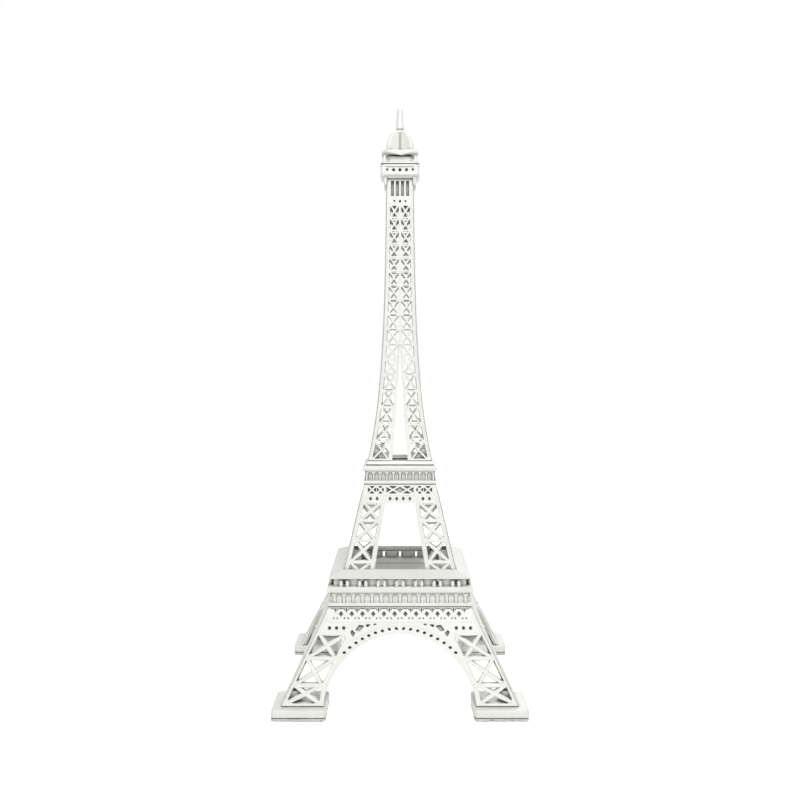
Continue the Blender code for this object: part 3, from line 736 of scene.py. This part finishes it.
LIP_TOP = GALLERY_Z + 2.0 * MM
LEDGE_Z = LIP_TOP + 6.4 * MM
WINDOW_Z = LEDGE_Z + 3.7 * MM
ARCADE_HALF = LOWER_TOP_HALF - 1.8 * MM
LEDGE_HALF = LOWER_TOP_HALF + 0.9 * MM
WALL_HALF = LOWER_TOP_HALF - 3.0 * MM
WALL_THICK = 1.6 * MM
POST_HALF = LOWER_TOP_HALF - 1.2 * MM
ARCADE_COLUMNS = 15
ARCADE_PITCH = 5.8 * MM
WINDOW_COUNT = 7
WINDOW_PITCH = 11.53 * MM


def centred(count, pitch):
    """Positions of a row of that many, centred on 0."""
    return [(k - (count - 1) / 2) * pitch for k in range(count)]


def half_column(bm, u, face, radius, low, high, sides=8):
    """A half-round column on the front wall, with a round head."""
    profile = [(radius, low), (radius, high - radius)]
    for step in range(1, 4):
        turn = math.pi / 2 * step / 3
        profile.append((max(radius * math.cos(turn), 0.08 * MM), high - radius + radius * math.sin(turn)))
    turned(bm, profile, u, -face, sides * 2)


def arcade(columns, pitch, low, high, radius, face, depth):
    """A band with an arch cut into its lower edge between each pair of columns."""
    spots = centred(columns, pitch)
    reach = face - depth
    outline = [(reach, high), (-reach, high), (-reach, low)]
    for u in spots[:-1]:
        centre = u + pitch / 2
        for step in range(9):
            turn = math.pi * (1 - step / 8)
            outline.append((centre + radius * math.cos(turn),
                            low + radius * 1.15 * math.sin(turn) + 0.01 * MM))
    outline.append((reach, low))
    return plate(outline[::-1], [], depth, 0.2 * MM, leaning(lambda z: face))


def gallery():
    lip_half = LOWER_TOP_HALF + 0.3 * MM
    inner = WALL_HALF - WALL_THICK
    deck_seat = WINDOW_Z - 2.9 * MM
    profile = [(lip_half, GALLERY_Z), (lip_half, LIP_TOP), (ARCADE_HALF, LIP_TOP + 0.2 * MM)]
    profile += [(ARCADE_HALF, LEDGE_Z), (LEDGE_HALF, LEDGE_Z + 0.3 * MM), (LEDGE_HALF, WINDOW_Z)]
    profile += [(WALL_HALF - 0.4 * MM, WINDOW_Z + 0.1 * MM), (inner, WINDOW_Z + 0.1 * MM),
                (inner, deck_seat)]
    profile += [(inner - 2.5 * MM, deck_seat), (inner - 2.5 * MM, GALLERY_Z)]
    bm = bmesh.new()
    swept(bm, rounded(profile, 0.8 * MM), 1.0 * MM, True)
    side = bmesh.new()
    for u in centred(ARCADE_COLUMNS, ARCADE_PITCH):
        half_column(side, u, ARCADE_HALF + 0.1 * MM, 0.95 * MM, LIP_TOP - 0.3 * MM, LEDGE_Z - 0.2 * MM)
        for fine in (-1.35 * MM, 1.35 * MM):
            half_column(side, u + fine, ARCADE_HALF - 0.2 * MM, 0.5 * MM,
                        LIP_TOP - 0.3 * MM, LEDGE_Z - 2.6 * MM, 5)
    add_mesh(side, arcade(ARCADE_COLUMNS, ARCADE_PITCH, LEDGE_Z - 2.2 * MM, LEDGE_Z + 0.2 * MM, 1.7 * MM,
                          ARCADE_HALF + 1.0 * MM, 1.3 * MM))
    for u in centred(WINDOW_COUNT, WINDOW_PITCH):
        for offset_u in (-1.9 * MM, 1.9 * MM):
            post = [(1.2 * MM, WINDOW_Z - 0.3 * MM), (1.2 * MM, WINDOW_Z + 2.2 * MM),
                    (1.05 * MM, WINDOW_Z + 3.0 * MM)]
            post += [(0.7 * MM, WINDOW_Z + 3.6 * MM), (0.2 * MM, WINDOW_Z + 4.0 * MM)]
            turned(side, post, u + offset_u, -POST_HALF, 14)
    corner = WALL_HALF - 0.25 * MM
    outline = rectangle(-corner, corner, WINDOW_Z - 0.2 * MM, GALLERY_TOP)
    windows = []
    for u in centred(WINDOW_COUNT, WINDOW_PITCH):
        hole = rectangle(u - 1.9 * MM, u + 1.9 * MM, WINDOW_Z + 0.5 * MM, WINDOW_Z + 3.9 * MM)
        windows.append(rounded(hole, 0.4 * MM))
    add_mesh(side, plate(outline, windows, WALL_THICK, 0.15 * MM, leaning(lambda z: WALL_HALF)))
    four_sides(bm, side)
    make_piece("gallery_frame_cast", bm, ENAMEL, ["gallery_frame"])


def roof():
    eaves = half_width("gallery_roof")
    collar = middle_half(ROOF_TOP) + 0.35 * MM
    profile = [(eaves - 0.5 * MM, ROOF_Z), (eaves, ROOF_Z + 0.45 * MM),
               (eaves - 1.3 * MM, ROOF_Z + 1.1 * MM)]
    profile += [(collar, ROOF_TOP), (collar, ROOF_TOP - 1.5 * MM), (WALL_HALF - WALL_THICK, ROOF_Z)]
    bm = bmesh.new()
    swept(bm, rounded(profile, 0.35 * MM), 0.35 * MM, True)
    make_piece("gallery_roof_cast", bm, ENAMEL, ["gallery_roof"])


gallery()
roof()


# --- Middle tier ----------------------------------------------------------------------------

MIDDLE_THICK = 2.4 * MM
BELT_Z = 120.1 * MM
MIDDLE_BELT_Z, MIDDLE_RAIL_Z, MIDDLE_DIAMOND_Z = 126.0 * MM, 125.6 * MM, 123.1 * MM


def middle_face():
    right = [
        (9.3 * MM, BELT_Z),
        (17.4 * MM, MIDDLE_Z),
        (MIDDLE_FOOT_HALF - SEAM, MIDDLE_Z),
        (MIDDLE_TOP_HALF - SEAM, MIDDLE_TOP),
    ]

    def inner(z):
        return between(17.4 * MM, 9.3 * MM, (z - MIDDLE_Z) / (BELT_Z - MIDDLE_Z)) + 2.9 * MM

    def outer(z):
        return middle_half(z) - 3.1 * MM

    bar = 1.9 * MM
    levels = tapered_levels(MIDDLE_Z - 0.9 * MM, BELT_Z + 0.85 * MM, 4, 0.82)
    levels[0] = MIDDLE_Z + 0.4 * MM
    open_holes = both_sides(soft(braced_column(levels, inner, outer, 1.7 * MM, bar), 0.3 * MM))
    holes = []
    low, high = MIDDLE_BELT_Z, MIDDLE_TOP - 0.7 * MM
    bar = 1.2 * MM
    post = 9.6 * MM
    middle = (post + outer(high)) / 2
    for start, end in ((post + bar / 2, middle), (middle, outer(high) + 0.4 * MM)):
        holes += soft(braced_bay(rectangle(start, end, low, high), [0.35 * MM] * 4, bar), 0.25 * MM)
    centre = braced_bay(rectangle(0, post - bar / 2, low, high), (0.35 * MM, 0.35 * MM, 0.35 * MM, 0), bar)
    halved = min(centre, key=lambda hole: min(u for u, _ in hole))
    holes += soft([hole for hole in centre if hole is not halved], 0.25 * MM)
    tip = max(u for u, _ in halved)
    heights = [z for _, z in halved]
    waist = (min(heights) + max(heights)) / 2
    widest = diamond(0, waist, tip, max(heights) - waist)
    for across in (2.1, 6.35, 14.7, 18.85):
        holes.append(diamond(across * MM, MIDDLE_DIAMOND_Z, 0.95 * MM, 1.3 * MM))
    place = leaning(middle_half)
    # Only the front layer has the small holes; the back layer closes them, so their floors take the
    # enamel's painted shade and show dark.
    front = MIDDLE_THICK - 0.7 * MM
    outline = right + mirrored(right)
    bm = plate(outline, open_holes + both_sides(holes) + [widest], front, 0.42 * MM, place)
    add_mesh(bm, plate(outline, open_holes, 0.6 * MM, 0.1 * MM, behind(place, front + 0.1 * MM)))
    trim = bmesh.new()
    for low, high in zip(levels, levels[1:]):
        for side in (-1, 1):
            near_low, far_low = side * inner(low), side * outer(low)
            near_high, far_high = side * inner(high), side * outer(high)
            for line in (((near_low, low), (far_high, high)), ((far_low, low), (near_high, high))):
                add_spindle(trim, line, 1.2 * MM, middle_half)
            add_spindle(trim, ((near_high, high), (far_high, high)), 1.2 * MM, middle_half)
    for side in (-1, 1):
        edge = [(side * (middle_half(z) - 1.2 * MM), z) for z in (MIDDLE_Z + 1 * MM, MIDDLE_TOP - 1 * MM)]
        add_rod(trim, subdivided(edge, 12), 0.75 * MM, middle_half)
        bar_line = [(side * (inner(z) - 1.7 * MM), z) for z in (MIDDLE_Z + 1 * MM, BELT_Z)]
        add_rod(trim, subdivided(bar_line, 10), 0.75 * MM, middle_half)
    for height in (BELT_Z + 0.5 * MM, MIDDLE_RAIL_Z):
        reach = middle_half(height) - 1.2 * MM
        add_rod(trim, subdivided([(-reach, height), (reach, height)], 14), 0.45 * MM, middle_half)
    add_mesh(bm, trim)
    piece = make_piece("middle_face_front", bm, ENAMEL, ["middle_face_front"])
    repeat(piece, "middle_face", "middle_face", SIDES)


middle_face()


# --- Platform -------------------------------------------------------------------------------

CORBEL_COUNT = 10
CORBEL_PITCH = 4.25 * MM


def platform():
    cornice = half_width("platform_frame")
    wall = MIDDLE_TOP_HALF - 1.9 * MM
    lip = MIDDLE_TOP_HALF + 0.25 * MM
    wall_z = PLATFORM_Z + 2.1 * MM
    cornice_z = PLATFORM_Z + 8.3 * MM
    inner = wall - 1.6 * MM
    profile = [(lip, PLATFORM_Z), (lip, wall_z), (wall, wall_z + 0.2 * MM), (wall, cornice_z - 1.4 * MM)]
    profile += [(wall + 0.7 * MM, cornice_z - 0.2 * MM), (cornice - 0.5 * MM, cornice_z)]
    profile += [(cornice, cornice_z + 1.1 * MM), (cornice - 0.1 * MM, PLATFORM_TOP - 0.9 * MM)]
    profile += [(cornice - 1.2 * MM, PLATFORM_TOP), (inner, PLATFORM_TOP), (inner, PLATFORM_Z)]
    bm = bmesh.new()
    swept(bm, rounded(profile, 0.9 * MM), 1.2 * MM, True)
    side = bmesh.new()
    add_mesh(side, arcade(CORBEL_COUNT + 1, CORBEL_PITCH, cornice_z - 1.9 * MM, cornice_z + 0.4 * MM,
                          1.35 * MM, wall + 1.3 * MM, 1.5 * MM))
    for u in centred(CORBEL_COUNT + 1, CORBEL_PITCH):
        half_column(side, u, wall + 0.3 * MM, 0.6 * MM, wall_z - 0.2 * MM, cornice_z - 0.3 * MM)
        for fine in (-1.4 * MM, 1.4 * MM):
            half_column(side, u + fine, wall, 0.45 * MM, wall_z - 0.2 * MM, cornice_z - 2.4 * MM, 5)
    four_sides(bm, side)
    make_piece("platform_frame_cast", bm, ENAMEL, ["platform_frame"])


def slab():
    outer = half_width("platform_slab")
    opening = UPPER_FOOT_HALF - 2.9 * MM
    profile = [(outer - 0.3 * MM, SLAB_Z), (outer, SLAB_Z + 0.5 * MM), (outer - 0.8 * MM, SLAB_TOP)]
    profile += [(opening, SLAB_TOP), (opening, SLAB_Z)]
    bm = bmesh.new()
    swept(bm, rounded(profile, 0.4 * MM), 0.9 * MM, True)
    low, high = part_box("platform_block_front_right")
    lug = bmesh.new()
    for quarter in range(4):
        box = bmesh.ops.create_cube(lug, size=1)["verts"]
        near, far = low[0] - 0.5 * MM, opening + 0.5 * MM
        for vert in box:
            vert.co = Vector((between(near, far, vert.co.x + 0.5), -between(near, far, vert.co.y + 0.5),
                              between(SLAB_Z + 0.05 * MM, SLAB_TOP - 0.05 * MM, vert.co.z + 0.5)))
        bmesh.ops.rotate(lug, verts=box, cent=(0, 0, 0),
                         matrix=Matrix.Rotation(quarter * math.pi / 2, 3, "Z"))
    add_mesh(bm, lug)
    make_piece("platform_slab_cast", bm, ENAMEL, ["platform_slab"])


platform()
slab()


# --- Upper tier -----------------------------------------------------------------------------

UPPER_THICK = 1.8 * MM
GRILLE_Z = 314.0 * MM
GRILLE_BACK_Z = 315.0 * MM
SLOT_Z = 319.8 * MM
SIDE_PEEPHOLE_Z, MIDDLE_PEEPHOLE_Z = 316.5 * MM, 316.4 * MM


def upper_face():
    bar = 1.2 * MM
    levels = tapered_levels(UPPER_Z + bar / 2, GRILLE_Z, 17, 0.74)
    split_z = levels[7]

    def split(z):
        return between(0.4 * MM, 4.9 * MM, ((split_z - z) / (split_z - UPPER_Z)) ** 1.2)

    def inner(z):
        if z >= split_z:
            return 0.85 * MM
        return split(z) + between(2.7 * MM, 0.85 * MM, (z - UPPER_Z) / (split_z - UPPER_Z))

    def outer(z):
        return upper_half(z) - 2.7 * MM

    slot = [(split(z), z) for z in [UPPER_Z] + levels[1:7]] + [(0.4 * MM, split_z - bar / 2)]
    edge = [(upper_half(z) - SEAM, z) for z in [UPPER_Z] + levels[1:] + [UPPER_TOP]]
    right = slot[::-1] + edge
    open_holes = both_sides(soft(braced_column(levels, inner, outer, bar, bar), 0.25 * MM, 2))
    holes = []
    for across in (1.65, 4.95):
        hole = rectangle((across - 0.98) * MM, (across + 0.98) * MM, SLOT_Z, UPPER_TOP - 1.1 * MM)
        holes.append(rounded(hole, 0.5 * MM))
    holes.append(ellipse(3.6 * MM, SIDE_PEEPHOLE_Z, 0.55 * MM, 0.7 * MM, 8))
    holes = both_sides(holes) + [ellipse(0.0, MIDDLE_PEEPHOLE_Z, 0.75 * MM, 0.8 * MM, 8)]
    outline = right + mirrored(right)
    place = leaning(upper_half)
    bm = plate(outline, open_holes + holes, UPPER_THICK, 0.36 * MM, place)
    # A sheet set just behind the slots and peepholes closes them; its face takes the enamel's painted
    # shade, so they show dark.
    reach = 6.0 * MM
    slot_shade_backing = rectangle(-reach, reach, GRILLE_BACK_Z, UPPER_TOP - 0.3 * MM)
    add_mesh(bm, plate(slot_shade_backing, [], 0.6 * MM, 0.1 * MM, behind(place, UPPER_THICK + 0.6 * MM)))
    trim = bmesh.new()
    for side in (-1, 1):
        heights = [between(UPPER_Z + 1 * MM, UPPER_TOP - 1 * MM, k / 48) for k in range(49)]
        add_rod(trim, [(side * (upper_half(z) - 1.15 * MM), z) for z in heights], 0.7 * MM, upper_half)
    add_mesh(bm, trim)
    piece = make_piece("upper_face_front", bm, ENAMEL, ["upper_face_front"])
    repeat(piece, "upper_face", "upper_face", SIDES)


upper_face()


# --- Balcony, cabin, dome and antenna ---------------------------------------------------------

PORT_SPOTS = (-8.4, -4.2, 0.0, 4.2, 8.4)  # millimetres
PORT_TOP, PORT_SILL, PORT_TIP = 337.3 * MM, 335.5 * MM, 335.0 * MM
SEAM_SPAN = (338.1 * MM, 338.3 * MM)


def balcony():
    spigot = UPPER_TOP_HALF - 2.2 * MM
    inner = BALCONY_HALF - 1.6 * MM
    bm = bmesh.new()
    profile = [(spigot, BALCONY_Z - 1.6 * MM), (spigot, BALCONY_Z + 0.1 * MM),
               (UPPER_TOP_HALF + 0.6 * MM, BALCONY_Z)]
    profile += [(BALCONY_HALF - 0.9 * MM, BALCONY_Z + 1.4 * MM), (BALCONY_HALF, BALCONY_Z + 2.0 * MM)]
    profile += [(BALCONY_HALF - 0.1 * MM, BALCONY_Z + 3.6 * MM), (inner, BALCONY_Z + 3.3 * MM),
                (inner, BALCONY_Z + 2.2 * MM)]
    swept(bm, rounded(profile, 0.35 * MM, closed=False), 3.0 * MM, False)
    top = [(BALCONY_HALF - 0.2 * MM, BALCONY_Z + 7.3 * MM), (BALCONY_HALF, BALCONY_Z + 7.6 * MM)]
    top += [(BALCONY_HALF, BALCONY_TOP - 0.6 * MM), (BALCONY_HALF - 0.6 * MM, BALCONY_TOP)]
    top += [(inner, BALCONY_TOP), (inner, BALCONY_Z + 7.3 * MM)]
    swept(bm, rounded(top, 0.3 * MM), 3.0 * MM, True)
    side = bmesh.new()
    wall_half = BALCONY_HALF - 0.35 * MM
    reach = BALCONY_HALF - 2.4 * MM
    outline = rectangle(-reach, reach, BALCONY_Z + 3.2 * MM, BALCONY_Z + 7.7 * MM)
    holes = [rectangle(-9.0 * MM, 9.0 * MM, *SEAM_SPAN)]
    for spot in PORT_SPOTS:
        centre = spot * MM
        if abs(spot) > 5:
            corners = [(centre - 0.9 * MM, PORT_TOP), (centre + 0.9 * MM, PORT_TOP), (centre, PORT_TIP)]
        else:
            corners = rectangle(centre - 0.95 * MM, centre + 0.95 * MM, PORT_SILL, PORT_TOP)
        holes.append(rounded(corners, 0.35 * MM))

    def upright(u, z, depth):
        return uneven(Vector((u, depth - wall_half, z)))

    add_mesh(side, plate(outline, holes, 1.2 * MM, 0.2 * MM, upright))
    four_sides(bm, side)
    post = [(1.75 * MM, BALCONY_Z + 3.0 * MM), (1.75 * MM, BALCONY_Z + 7.6 * MM)]
    corbel = [(0.35 * MM, BALCONY_Z - 5.0 * MM), (0.9 * MM, BALCONY_Z - 3.4 * MM)]
    corbel += [(1.2 * MM, BALCONY_Z - 1.2 * MM), (1.5 * MM, BALCONY_Z + 1.0 * MM)]
    for x in (-1, 1):
        for y in (-1, 1):
            spot = BALCONY_HALF - 2.1 * MM
            turned(bm, post, x * spot, y * spot, 20)
            spot = UPPER_TOP_HALF + 0.6 * MM
            turned(bm, corbel, x * spot, y * spot, 12)
    make_piece("balcony_cast", bm, ENAMEL, ["balcony"])


def cabin():
    half = half_width("cabin")
    neck = half - 4.5 * MM
    deck = CABIN_Z + 1.2 * MM
    profile = [(half - 0.3 * MM, CABIN_Z), (half, CABIN_Z + 0.4 * MM), (half - 0.5 * MM, deck)]
    profile += [(neck + 0.5 * MM, deck), (neck, deck + 0.6 * MM), (neck - 0.3 * MM, CABIN_TOP)]
    bm = bmesh.new()
    swept(bm, rounded(profile, 0.3 * MM, closed=False), 3.0 * MM, False)
    for x in (-1, 1):
        for y in (-1, 1):
            post = [(1.3 * MM, deck - 0.2 * MM), (1.5 * MM, deck + 0.8 * MM),
                    (0.9 * MM, deck + 1.8 * MM), (0.8 * MM, CABIN_TOP)]
            turned(bm, post, x * 10.2 * MM, y * 10.2 * MM, 12)
    make_piece("cabin_cast", bm, ENAMEL, ["cabin"])


def dome():
    flange_top = DOME_Z + 4.0 * MM
    bm = bmesh.new()
    rings = []
    sides = 64
    for inwards, height in ((1.2, 0.4), (0.35, 0.2), (0.0, 0.9), (0.0, 2.7), (0.5, 3.7), (1.6, 4.0)):
        ring = []
        for k in range(sides):
            turn = 2 * math.pi * (k + 0.5) / sides
            x, y = math.cos(turn), math.sin(turn)
            corner = abs(math.sin(2 * turn)) ** 1.5
            reach = between(0.97 * CAP_HALF, 1.28 * CAP_HALF, corner) - inwards * MM
            swag = 1.5 * MM * corner if height < 2 else 0.0
            ring.append(bm.verts.new(uneven(Vector((x * reach, y * reach, DOME_Z + height * MM + swag)))))
        rings.append(ring)
    bm.faces.new(rings[0])
    bm.faces.new(rings[-1])
    for low, high in zip(rings, rings[1:]):
        for k in range(sides):
            bm.faces.new((low[k - 1], low[k], high[k], high[k - 1]))
    reach = 8.6 * MM * math.sqrt(2)
    height = DOME_TOP - flange_top
    arc = []
    for step in range(25):
        turn = math.pi * step / 24
        arc.append((reach * math.cos(turn), flange_top + (height - 0.3 * MM) * math.sin(turn) ** 1.15))
    outline = [(-reach, flange_top - 1.0 * MM), (reach, flange_top - 1.0 * MM)] + arc
    thick = 3.0 * MM
    for side in (-1, 1):
        def across(u, z, depth, side=side):
            back = depth - thick / 2
            return uneven(Vector(((u - side * back) / math.sqrt(2), (side * u + back) / math.sqrt(2), z)))

        add_mesh(bm, plate(outline, [], thick, 0.8 * MM, across))
    hub = [(1.2 * MM, flange_top - 0.5 * MM), (1.2 * MM, DOME_TOP - 4.0 * MM),
           (2.4 * MM, DOME_TOP - 1.6 * MM)]
    hub += [(2.5 * MM, DOME_TOP - 0.4 * MM), (2.3 * MM, DOME_TOP)]
    turned(bm, hub, sides=24)
    make_piece("dome_cast", bm, ENAMEL, ["dome"])


def antenna():
    low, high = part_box("antenna")
    top = high[2]
    base = DOME_TOP + GAP
    profile = [(1.1 * MM, low[2]), (1.1 * MM, base), (2.3 * MM, base), (2.7 * MM, base + 0.4 * MM)]
    profile += [(2.65 * MM, base + 1.2 * MM), (1.95 * MM, top - 2.2 * MM), (1.7 * MM, top - 1.3 * MM)]
    profile += [(1.2 * MM, top - 0.4 * MM), (0.5 * MM, top - 0.05 * MM)]
    bm = bmesh.new()
    turned(bm, profile, sides=24)
    make_piece("antenna_cast", bm, ENAMEL, ["antenna"])


balcony()
cabin()
dome()
antenna()


# --- Hidden CAD nodes keep their shape and take a finish --------------------------------------

for name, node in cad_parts.items():
    finish = ZINC if "screw" in name or "nut" in name else ENAMEL
    if "block" in name or "deck" in name or finish is ZINC:
        node.data.materials.clear()
        node.data.materials.append(finish)


# --- Camera, light and stage ------------------------------------------------------------------

CAMERA_DISTANCE = 0.608
CAMERA_HEIGHT = 0.214
SENSOR = 36.0
FOCAL = 910 / 800 * SENSOR
HORIZON_SHIFT = -0.054


def add_light(name, place, target, size, power):
    """A soft square lamp that faces the target."""
    lamp = bpy.data.lights.new(name, "AREA")
    lamp.size = size
    lamp.energy = power
    light = bpy.data.objects.new(name, lamp)
    light.location = place
    light.rotation_euler = (Vector(target) - Vector(place)).to_track_quat("-Z", "Y").to_euler()
    bpy.context.scene.collection.objects.link(light)


def camera_only(tree, plain, seen):
    """A shader that shows seen to the camera and in reflections, and plain to all other rays."""
    path = tree.nodes.new("ShaderNodeLightPath")
    largest = path.outputs["Is Camera Ray"]
    for name in ("Is Glossy Ray", "Is Transmission Ray"):
        node = tree.nodes.new("ShaderNodeMath")
        node.operation = "MAXIMUM"
        tree.links.new(largest, node.inputs[0])
        tree.links.new(path.outputs[name], node.inputs[1])
        largest = node.outputs[0]
    mix = tree.nodes.new("ShaderNodeMixShader")
    tree.links.new(largest, mix.inputs[0])
    tree.links.new(plain, mix.inputs[1])
    tree.links.new(seen, mix.inputs[2])
    return mix.outputs[0]


def make_stage():
    world = bpy.data.worlds.new("studio")
    bpy.context.scene.world = world
    world.use_nodes = True
    tree = world.node_tree
    backgrounds = []
    for strength in (0.30, 1.0):
        node = tree.nodes.new("ShaderNodeBackground")
        node.inputs["Color"].default_value = (1.0, 1.0, 1.0, 1.0)
        node.inputs["Strength"].default_value = strength
        backgrounds.append(node.outputs[0])
    tree.links.new(camera_only(tree, *backgrounds), tree.nodes["World Output"].inputs["Surface"])

    bm = bmesh.new()
    bmesh.ops.create_grid(bm, x_segments=1, y_segments=1, size=6.0)
    mesh = bpy.data.meshes.new("floor")
    bm.to_mesh(mesh)
    bm.free()
    floor = bpy.data.objects.new("floor", mesh)
    bpy.context.scene.collection.objects.link(floor)
    material = bpy.data.materials.new("floor_paper")
    material.use_nodes = True
    tree = material.node_tree
    shader = tree.nodes["Principled BSDF"]
    shader.inputs["Base Color"].default_value = (0.9, 0.9, 0.9, 1.0)
    shader.inputs["Roughness"].default_value = 0.9
    glow = tree.nodes.new("ShaderNodeEmission")
    glow.inputs["Strength"].default_value = 0.75
    lift = tree.nodes.new("ShaderNodeAddShader")
    tree.links.new(shader.outputs[0], lift.inputs[0])
    tree.links.new(glow.outputs[0], lift.inputs[1])
    seen = camera_only(tree, shader.outputs[0], lift.outputs[0])
    tree.links.new(seen, tree.nodes["Material Output"].inputs["Surface"])
    mesh.materials.append(material)


def make_camera():
    lens = bpy.data.cameras.new("camera")
    lens.sensor_width = SENSOR
    lens.lens = FOCAL
    lens.shift_y = HORIZON_SHIFT
    camera = bpy.data.objects.new("camera", lens)
    camera.location = (0.0, -CAMERA_DISTANCE, CAMERA_HEIGHT)
    camera.rotation_euler = (math.pi / 2, 0.0, 0.0)
    bpy.context.scene.collection.objects.link(camera)
    bpy.context.scene.camera = camera


make_stage()
make_camera()
add_light("key", (0.2, -1.0, 1.25), (0, 0, 0.2), 0.5, 13.0)
add_light("back", (0.3, 1.3, 0.9), (0, 0, 0.2), 0.8, 5.0)
add_light("fill", (-0.7, -1.3, 0.4), (0, 0, 0.2), 0.8, 2.4)
bpy.context.scene.view_settings.view_transform = "Standard"
